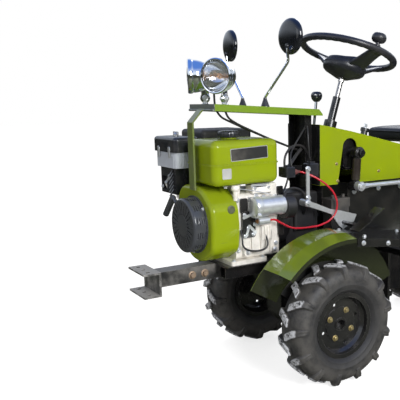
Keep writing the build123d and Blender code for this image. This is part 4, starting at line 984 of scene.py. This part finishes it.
for side, lens, degrees, gland_x, gland_y in (
    ("left", (0.06, -0.622, 1.041), 30, 0.024, -0.5756),
    ("right", (-0.06, -0.657, 1.044), -25, -0.045, -0.5746),
):
    place = at(*lens) @ spin(radians(degrees))
    along = place @ spin(-pi / 2, "X")
    ear = place @ at(0, ear_behind, -0.071)
    across = ear @ spin(pi / 2, "Y")
    tray_top = tray_front_top - (lens[1] + ear_behind - tray_front_y) * tray_fall - ear.translation.z
    stud = (
        (0, tray_top), (0.0125, tray_top), (0.0125, tray_top + 0.0025), (0.008, tray_top + 0.005),
        (0.006, tray_top + 0.006), (0.006, -0.012), (0, -0.012),
    )
    bm = bmesh.new()
    lathe(bm, shell_profile, along, 96)
    lathe(bm, lobe_profile, across, 40)
    plate(bm, 0.011, 0.026, 0.003, ear, 0.004, 0.034)
    lathe(bm, stud, ear, 24)
    shell = add_mesh(f"headlamp_shell_{side}", bm, chrome)
    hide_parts(f"headlamp_{side}")
    lens_axis = spin(-pi / 2, "X")
    turned_piece(f"headlamp_lens_{side}", lens_profile, lens_axis, 96, fluted_glass, place=place)
    turned_piece(f"headlamp_bulb_{side}", bulb_profile, along, 24, amber_glint)
    bm = bmesh.new()
    for turn in (pi, 0):
        bolt(bm, across @ spin(turn, "X") @ at(0, 0, 0.0062), 0.012)
    bolt(bm, ear @ at(0, 0, tray_top + 0.004), 0.016, 0.5, washer=False)
    add_mesh(f"headlamp_bolts_{side}", bm, zinc, sharp=30)
    gland_end = 1.0 - lens[2]
    gland = (
        (0, -0.03), (0.0065, -0.03), (0.0065, gland_end + 0.004), (0.005, gland_end), (0, gland_end),
    )
    gland_place = at(gland_x, gland_y, lens[2])
    turned_piece(f"headlamp_gland_{side}", gland, gland_place, 20, black_cable)

# Mirrors: oval silvered glass in a glossy black moulded back, on a bent chrome stem that rises
# from a ribbed rubber boot.
mirror_black = finish(
    "glossy_black_shell", (0.006, 0.007, 0.011), 0.14, 500, 0.00003, dust=0.03,
    slot="black_plastic", Coat_Weight=0.3, Coat_Roughness=0.05,
)
silvered = finish(
    "silvered_glass", (0.8, 0.83, 0.86), 0.02, 300, 0.00001, spread=0.05, dust=0.05, slot="chrome",
    Metallic=1.0,
)
back_profile = (
    (0, 0.0115), (0.3, 0.0112), (0.6, 0.0099), (0.8, 0.0077), (0.92, 0.0045), (0.985, 0.0),
    (1.0, -0.004), (1.0, -0.0085), (0.985, -0.0103), (0.95, -0.0107), (0.935, -0.0092),
    (0, -0.0092),
)
glass_profile = ((0, -0.0088), (0.932, -0.0088), (0.932, -0.0098), (0.9, -0.0101), (0, -0.0101))
stem = (
    (0.075, -0.447, 0.945), (0.075, -0.447, 0.964), (0.077, -0.447, 0.974), (0.083, -0.446, 0.98),
    (0.186, -0.434, 1.073), (0.195, -0.433, 1.083), (0.198, -0.435, 1.094), (0.199, -0.4385, 1.117),
    (0.1995, -0.437, 1.131),
)
stem_ball = ((0, 0), (0.007, 0.001), (0.0085, 0.006), (0.007, 0.011), (0, 0.013))
fold_pitch = 0.0045
fold_taper = 0.0016
boot_profile = [(0, 0.0), (0.0155, 0.0)]
for n in range(6):
    size = 0.0145 - n * fold_taper
    boot_profile += [(size, 0.003 + n * fold_pitch), (size - 0.0004, 0.006 + n * fold_pitch)]
boot_profile += [(0.0052, 0.032), (0, 0.032)]
for side, hand in (("left", 1), ("right", -1)):
    head = at(hand * 0.196, -0.428, 1.16) @ spin(radians(5 * hand - 4)) @ spin(pi / 2, "X")
    oval = head @ Matrix.Diagonal((0.06, 0.056, 1, 1))
    back = turned_piece(f"mirror_back_{side}", back_profile, oval, 72, mirror_black)
    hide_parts(f"mirror_{side}")
    turned_piece(f"mirror_glass_{side}", glass_profile, oval, 72, silvered)
    rod(f"mirror_stem_{side}", [(hand * x, y, z) for x, y, z in stem], 0.0046, chrome)
    bm = bmesh.new()
    lathe(bm, stem_ball, facing((hand * 0.1995, -0.432, 1.13), to_front), 24)
    lathe(bm, boot_profile, at(hand * 0.075, -0.447, 0.9395), 32)
    add_mesh(f"mirror_boot_{side}", bm, black_plastic)

# Steering wheel: black moulded rim with finger grips and a hub pad over three broad spokes, on
# the column's nut, with a spinner knob.
wheel_black = finish(
    "steering_wheel_black", (0.014, 0.015, 0.021), 0.34, 900, 0.00025, dust=0.08,
    slot="black_plastic",
)
column_lean = radians(-17.9)
wheel_place = at(0, -0.114, 0.880) @ spin(column_lean, "X") @ at(0, 0, 0.168)
rim_radius = 0.173
rim_height = 0.097
rim_thickness = 0.026
finger_count = 36
finger_depth = 0.0011
rim_steps = 180
section_steps = 20
bm = bmesh.new()
rings = []
for n in range(rim_steps):
    around = 2 * pi * n / rim_steps
    finger = 0.5 + 0.5 * cos(around * finger_count)
    ring = []
    for m in range(section_steps):
        turn = 2 * pi * m / section_steps
        grip = rim_thickness / 2 - finger_depth * finger * max(0.0, -sin(turn + 0.5))
        out = rim_radius + grip * cos(turn)
        point = (out * cos(around), out * sin(around), rim_height + grip * sin(turn))
        ring.append(bm.verts.new(wheel_place @ Vector(point)))
    rings.append(ring)
skin(bm, rings, closed=True)
hub_profile = (
    (0, 0.0), (0.026, 0.0), (0.032, 0.003), (0.05, 0.011), (0.069, 0.019), (0.0775, 0.026),
    (0.0805, 0.035), (0.0805, 0.047), (0.078, 0.053), (0, 0.053),
)
lathe(bm, hub_profile, wheel_place, 72)
spoke_turns = (0, pi / 2, pi)
spoke_rows = (  # out, height, width, thickness
    (0.05, 0.041, 0.078, 0.02), (0.075, 0.048, 0.074, 0.018), (0.1, 0.061, 0.066, 0.015),
    (0.125, 0.075, 0.06, 0.013), (0.15, 0.088, 0.056, 0.013), (0.17, 0.0965, 0.056, 0.014),
)
for turn in spoke_turns:
    turned = wheel_place @ spin(turn)
    rows = []
    for out, height, width, thick in spoke_rows:
        section = rounded(width, thick, thick * 0.42, 3)
        rows.append([bm.verts.new(turned @ Vector((out, x, height + y))) for x, y in section])
    skin(bm, rows)
wheel = add_mesh("steering_wheel_rim", bm, wheel_black, "steering", sharp=50)
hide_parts("steering_wheel")
bm = bmesh.new()
pad_steps = 120
pad_reach = 0.073
spoke_reach = 0.02
spoke_rise = 0.34
rings = []
for share, height in (
    (1.0, 0.046), (1.0, 0.058), (0.975, 0.0635), (0.93, 0.067), (0.84, 0.069), (0.8, 0.0665),
    (0.55, 0.0685), (0.25, 0.0695),
):
    ring = []
    for n in range(pad_steps):
        around = 2 * pi * n / pad_steps
        lobe = sum(spoke_reach * max(0.0, cos(around - turn)) ** 8 for turn in spoke_turns)
        out = share * (pad_reach + lobe)
        point = (out * cos(around), out * sin(around), height + lobe * spoke_rise * share)
        ring.append(bm.verts.new(wheel_place @ Vector(point)))
    rings.append(ring)
skin(bm, rings)
add_mesh("steering_wheel_pad", bm, wheel_black, "steering", sharp=25)
spinner = (
    (0, 0.009), (0.011, 0.009), (0.011, 0.014), (0.0075, 0.016), (0.0075, 0.021), (0.013, 0.0225),
    (0.0215, 0.026), (0.0255, 0.032), (0.0265, 0.038), (0.0255, 0.045), (0.021, 0.0525),
    (0.012, 0.0565), (0, 0.0575),
)
spinner_place = wheel_place @ spin(radians(-4)) @ at(rim_radius, 0, rim_height)
turned_piece("spinner_knob", spinner, spinner_place, 48, wheel_black, body="steering")
column_steel = finish(
    "column_steel", (0.34, 0.33, 0.32), 0.22, 300, spread=0.4, dust=0.1, slot="zinc_plate",
    Metallic=1.0,
)
dress(("steering_column",), column_steel)
down_column = wheel_place.to_3x3() @ Vector(to_floor)
bolts("steering_wheel_nut", column_steel, [(wheel_place.translation, down_column)], 0.019, "steering")

# Column sleeve, drop arm and drag link: a black-painted arm and its bronzed tube clamped on a
# splined boss, and a zinc-plated rod with an eye and a lock nut at each end.
dress(("column_sleeve", "drop_arm"), black_paint)
dress(("drag_link",), zinc)
boss = (0.136, -0.085, 0.772)
bolts("drop_arm_bolt", black_paint, [(boss, to_left)], 0.024, "arm")
bronzed = finish(
    "bronzed_black_steel", (0.022, 0.016, 0.013), 0.2, dust=0.1, wear=0.4, slot="black_paint"
)
bm = bmesh.new()
tube = ((0, 0), (0.0155, 0), (0.0165, 0.001), (0.0165, 0.076), (0.0155, 0.077), (0, 0.077))
lathe(bm, tube, facing((0.1205, -0.0866, 0.75), (0, -0.0665, -0.9978)), 40)
ridge_count = 16
for n in range(ridge_count):
    ridge = facing((0.1365, -0.085, 0.772), to_left) @ spin(n * 2 * pi / ridge_count)
    plate(bm, 0.0045, 0.003, 0.001, ridge @ at(0.0165, 0, 0), -0.012, 0.0)
add_mesh("drop_arm_tube", bm, bronzed, "arm")
bm = bmesh.new()
link_eye = ((0, 0), (0.014, 0), (0.0145, 0.002), (0.0135, 0.005), (0.0085, 0.0065), (0, 0.0065))
lathe(bm, link_eye, facing((0.157, -0.093, 0.652), to_left), 32)
bolt(bm, facing((0.157, -0.093, 0.6518), to_left), 0.019, 0.3, washer=False)
for y in (-0.07, 0.12):
    lock_nut = ((0, 0), (0.0105, 0), (0.0105, 0.014), (0, 0.014))
    lathe(bm, lock_nut, facing((0.146, y, 0.652), to_rear), 6)
add_mesh("drag_link_ends", bm, zinc, "link", sharp=30)


# Console: a green folded cover with rivets over the bolted tunnel. Black plates close its front,
# behind the post, and the gap below it.
def upright(bm, half_width, low, high, y, thickness):
    """A flat plate across the machine."""
    outline = ((-half_width, low), (half_width, low), (half_width, high), (-half_width, high))
    across = Matrix(((1, 0, 0, 0), (0, 0, 1, y), (0, 1, 0, 0), (0, 0, 0, 1)))
    prism(bm, outline, across, 0, thickness)


rivets = [(0.1, y, z) for y, z in ((-0.164, 0.734), (0.038, 0.695), (-0.159, 0.672), (0.18, 0.675))]
bolts("console_rivets", yellow_zinc, same_way(to_left, rivets), 0.007)
tunnel_bolts = [(0.098, y, z) for y, z in ((-0.08, 0.626), (-0.08, 0.45), (0.04, 0.63), (0.15, 0.63))]
bolts("tunnel_bolts", zinc, same_way(to_left, tunnel_bolts), 0.011)
for name, *sizes in (  # half width, low, high, y, thickness
    ("console_front_panel", 0.1, 0.662, 0.876, -0.2395, 0.0012),
    ("gearbox_cover", 0.09, 0.56, 0.6605, -0.2225, 0.003),
):
    bm = bmesh.new()
    upright(bm, *sizes)
    add_mesh(name, bm, black_paint)

# Tray's front end: a bare steel strip folded over the edge, with a rolled lip that stiffens it.
bare_steel = finish(
    "dull_bare_steel", (0.3, 0.33, 0.3), 0.4, 400, 0.0002, spread=0.5, dust=0.3, slot="zinc_plate",
    Metallic=0.7,
)
bm = bmesh.new()
plate(bm, 0.181, 0.022, 0.002, facing((0, -0.6441, 0.942), to_front), 0, 0.0014)
lip = ((0, -0.088), (0.0038, -0.088), (0.0038, 0.088), (0, 0.088))
lathe(bm, lip, facing((0, -0.647, 0.934), to_left), 16)
add_mesh("tray_front_strip", bm, bare_steel)

# Gear lever and ignition switch: a chromed stem under a black five-lobed knob, and a plated key
# in a black barrel on the console.
dress(("gear_lever",), chrome)
dress(("ignition_switch",), black_plastic)
bm = bmesh.new()
knob_middle = Vector((0.02, -0.193, 0.975))
knob_lobes = 5
lobe_share = 0.15
lathe(bm, (
    (0, -0.0195), (0.008, -0.0195), (0.0115, -0.016), (0.0165, -0.009), (0.0185, 0.0),
    (0.0185, 0.006), (0.016, 0.0125), (0.011, 0.0165), (0, 0.0175),
), at(*knob_middle), 60)
for vert in bm.verts:
    side = vert.co - knob_middle
    lobe = lobe_share * cos(knob_lobes * atan2(side.y, side.x))
    vert.co += Vector((side.x * lobe, side.y * lobe, 0))
add_mesh("gear_knob", bm, mirror_black, sharp=50)
switch_top = at(0, 0.043, 0.8116) @ spin(radians(-16), "X")
bm = bmesh.new()
barrel = ((0, 0.042), (0.0145, 0.042), (0.0145, 0.0435), (0.012, 0.045), (0, 0.045))
lathe(bm, barrel, switch_top, 32)
plate(bm, 0.003, 0.017, 0.0014, switch_top, 0.044, 0.06, 0.001)
add_mesh("ignition_key", bm, zinc)

# Battery: a moulded black case that stands on the frame and feeds the starter and the lamps. Its
# plastic is dull under dust.
battery_case = finish("battery_case", (0.03, 0.03, 0.032), 0.4, dust=0.3)
dress(("battery",), battery_case)

# Fasteners of the frame: plated bolts through the brackets, footboards and axle casings. Those of
# the beam have rusted.
rust_bolt = finish(
    "rusted_plating", (0.5, 0.36, 0.25), 0.45, 500, 0.0003, spread=0.6, dust=0.3,
    slot="zinc_plate", Metallic=0.6,
)
beam_spots = [
    ((hand * 0.03, y, 0.394), (hand, 0, 0)) for hand in (1, -1) for y in (-0.717, -0.671)
]
bolts("beam_bolts", rust_bolt, beam_spots, 0.016)
board_front_y = -0.266
board_slope = 0.1317
board_side_z = 0.498
board_top_z = 0.512
board_spots = []
for hand in (-1, 1):
    for y in (-0.242, -0.133, 0.02, 0.1):
        z = board_side_z - (y - board_front_y) * board_slope
        board_spots.append(((hand * 0.345, y, z), (hand, 0, 0)))
    for x in (0.16, 0.3):
        for y in (-0.2, 0.08):
            z = board_top_z - (y - board_front_y) * board_slope
            board_spots.append(((hand * x, y, z), (0, 0.13, 1)))
bolts("footboard_bolts", zinc, board_spots, 0.01)
for end, axle_y in wheel_y.items():
    spots = []
    for hand in (-1, 1):
        points = [(hand * 0.1, axle_y + y, 0.4) for y in (-0.05, 0.05)]
        points += [(hand * 0.062, axle_y + y, tyre_radius + z) for y, z in circle(0.05, 6, 30)]
        spots += same_way((hand, 0, 0), points)
    bolts(f"{end}_axle_bolts", zinc, spots, 0.011, f"{end}_half")

# Seat: black vinyl over foam on a steel pan. The cushion and the back are sewn into channels, and
# the filling blows the cloth up between the seams.
seat_vinyl = finish(
    "seat_vinyl", (0.009, 0.01, 0.014), 0.5, 900, 0.0003, dust=0.04, slot="seat_vinyl",
    Specular_IOR_Level=0.35,
)


def smooth_box(name, size, corner):
    """A box with rounded edges."""
    bm = bmesh.new()
    bmesh.ops.create_cube(bm, size=1.0, matrix=Matrix.Diagonal((*size, 1)))
    bmesh.ops.bevel(bm, geom=bm.edges[:], offset=corner, segments=5, affect="EDGES", profile=0.5)
    mesh = bpy.data.meshes.new(name)
    bm.to_mesh(mesh)
    bm.free()
    return mesh


def baked(piece):
    """The piece's mesh as its modifiers leave it."""
    seen = piece.evaluated_get(bpy.context.evaluated_depsgraph_get())
    mesh = bpy.data.meshes.new_from_object(seen)
    piece.modifiers.clear()
    return mesh


def puff_up(piece, seams):
    """Remakes the box in small even faces, and blows it up as cloth held at the seams and below."""
    seam_half = 0.0035
    rise = 0.009
    moments = 20
    remesh = piece.modifiers.new("even", "REMESH")
    remesh.mode = "VOXEL"
    remesh.voxel_size = 0.006
    piece.data = baked(piece)
    before = [vert.co.copy() for vert in piece.data.vertices]
    held = piece.vertex_groups.new(name="held")
    for vert in piece.data.vertices:
        if vert.co.z < 0 or min(abs(vert.co.x - seam) for seam in seams) < seam_half:
            held.add([vert.index], 1.0, "REPLACE")
    cloth = piece.modifiers.new("cloth", "CLOTH")
    cloth.settings.quality = 5
    cloth.settings.use_pressure = True
    cloth.settings.uniform_pressure_force = 4
    cloth.settings.effector_weights.gravity = 0
    cloth.settings.vertex_group_mass = held.name
    cloth.point_cache.frame_start = 1
    cloth.point_cache.frame_end = moments
    for moment in range(1, moments + 1):
        scene.frame_set(moment)
    puffed = baked(piece)
    for vert, start, end in zip(piece.data.vertices, before, puffed.vertices):
        step = end.co - start
        vert.co = start + step * min(1.0, rise / max(step.length, 1e-6))
    scene.frame_set(1)
    piece.modifiers.new("fine", "SUBSURF").levels = 1
    piece.data = baked(piece)


def stuffed(name, size, seams, place):
    """A sewn cushion with its filling."""
    piece = bpy.data.objects.new(name, smooth_box(name, size, 0.018))
    scene.collection.objects.link(piece)
    puff_up(piece, seams)
    piece.data.shade_smooth()
    piece.data.materials.append(seat_vinyl)
    piece.matrix_world = place
    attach(piece, "rear_half")
    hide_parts("seat")


cushion_place = at(0, 0.427, 0.821)
stuffed("seat_cushion", (0.392, 0.392, 0.05), (-0.11, 0.0, 0.11), cushion_place)
back_place = at(0, 0.58, 0.812) @ spin(radians(-12), "X") @ at(0, 0, 0.135) @ spin(pi / 2, "X")
stuffed("seat_back", (0.344, 0.256, 0.044), (-0.09, 0.09), back_place)

# Seat piping and pan: a vinyl welt sewn round the cushion and the back, and the bolted steel pans
# under the foam.
for name, width, height, welt_place in (
    ("seat_welt", 0.397, 0.397, cushion_place @ at(0, 0, 0.012)),
    ("back_welt", 0.349, 0.261, back_place @ at(0, 0, 0.01)),
):
    outline = rounded(width, height, 0.03, 6)
    curve = bpy.data.curves.new(name, "CURVE")
    curve.dimensions = "3D"
    curve.bevel_depth = 0.0035
    curve.bevel_resolution = 3
    spline = curve.splines.new("POLY")
    spline.points.add(len(outline) - 1)
    for spot, (x, y) in zip(spline.points, outline):
        spot.co = (*(welt_place @ Vector((x, y, 0))), 1)
    spline.use_cyclic_u = True
    add_piece(name, curve, seat_vinyl, "rear_half")
bm = bmesh.new()
plate(bm, 0.38, 0.38, 0.03, at(0, 0.427, 0), 0.792, 0.8)
plate(bm, 0.334, 0.246, 0.03, back_place, -0.0245, -0.02)
add_mesh("seat_pan", bm, black_paint, "rear_half")
pan_corners = [(x, y, 0.7925) for x in (-0.13, 0.13) for y in (0.3, 0.55)]
bolts("seat_bolts", zinc, same_way(to_floor, pan_corners), 0.013, "rear_half")
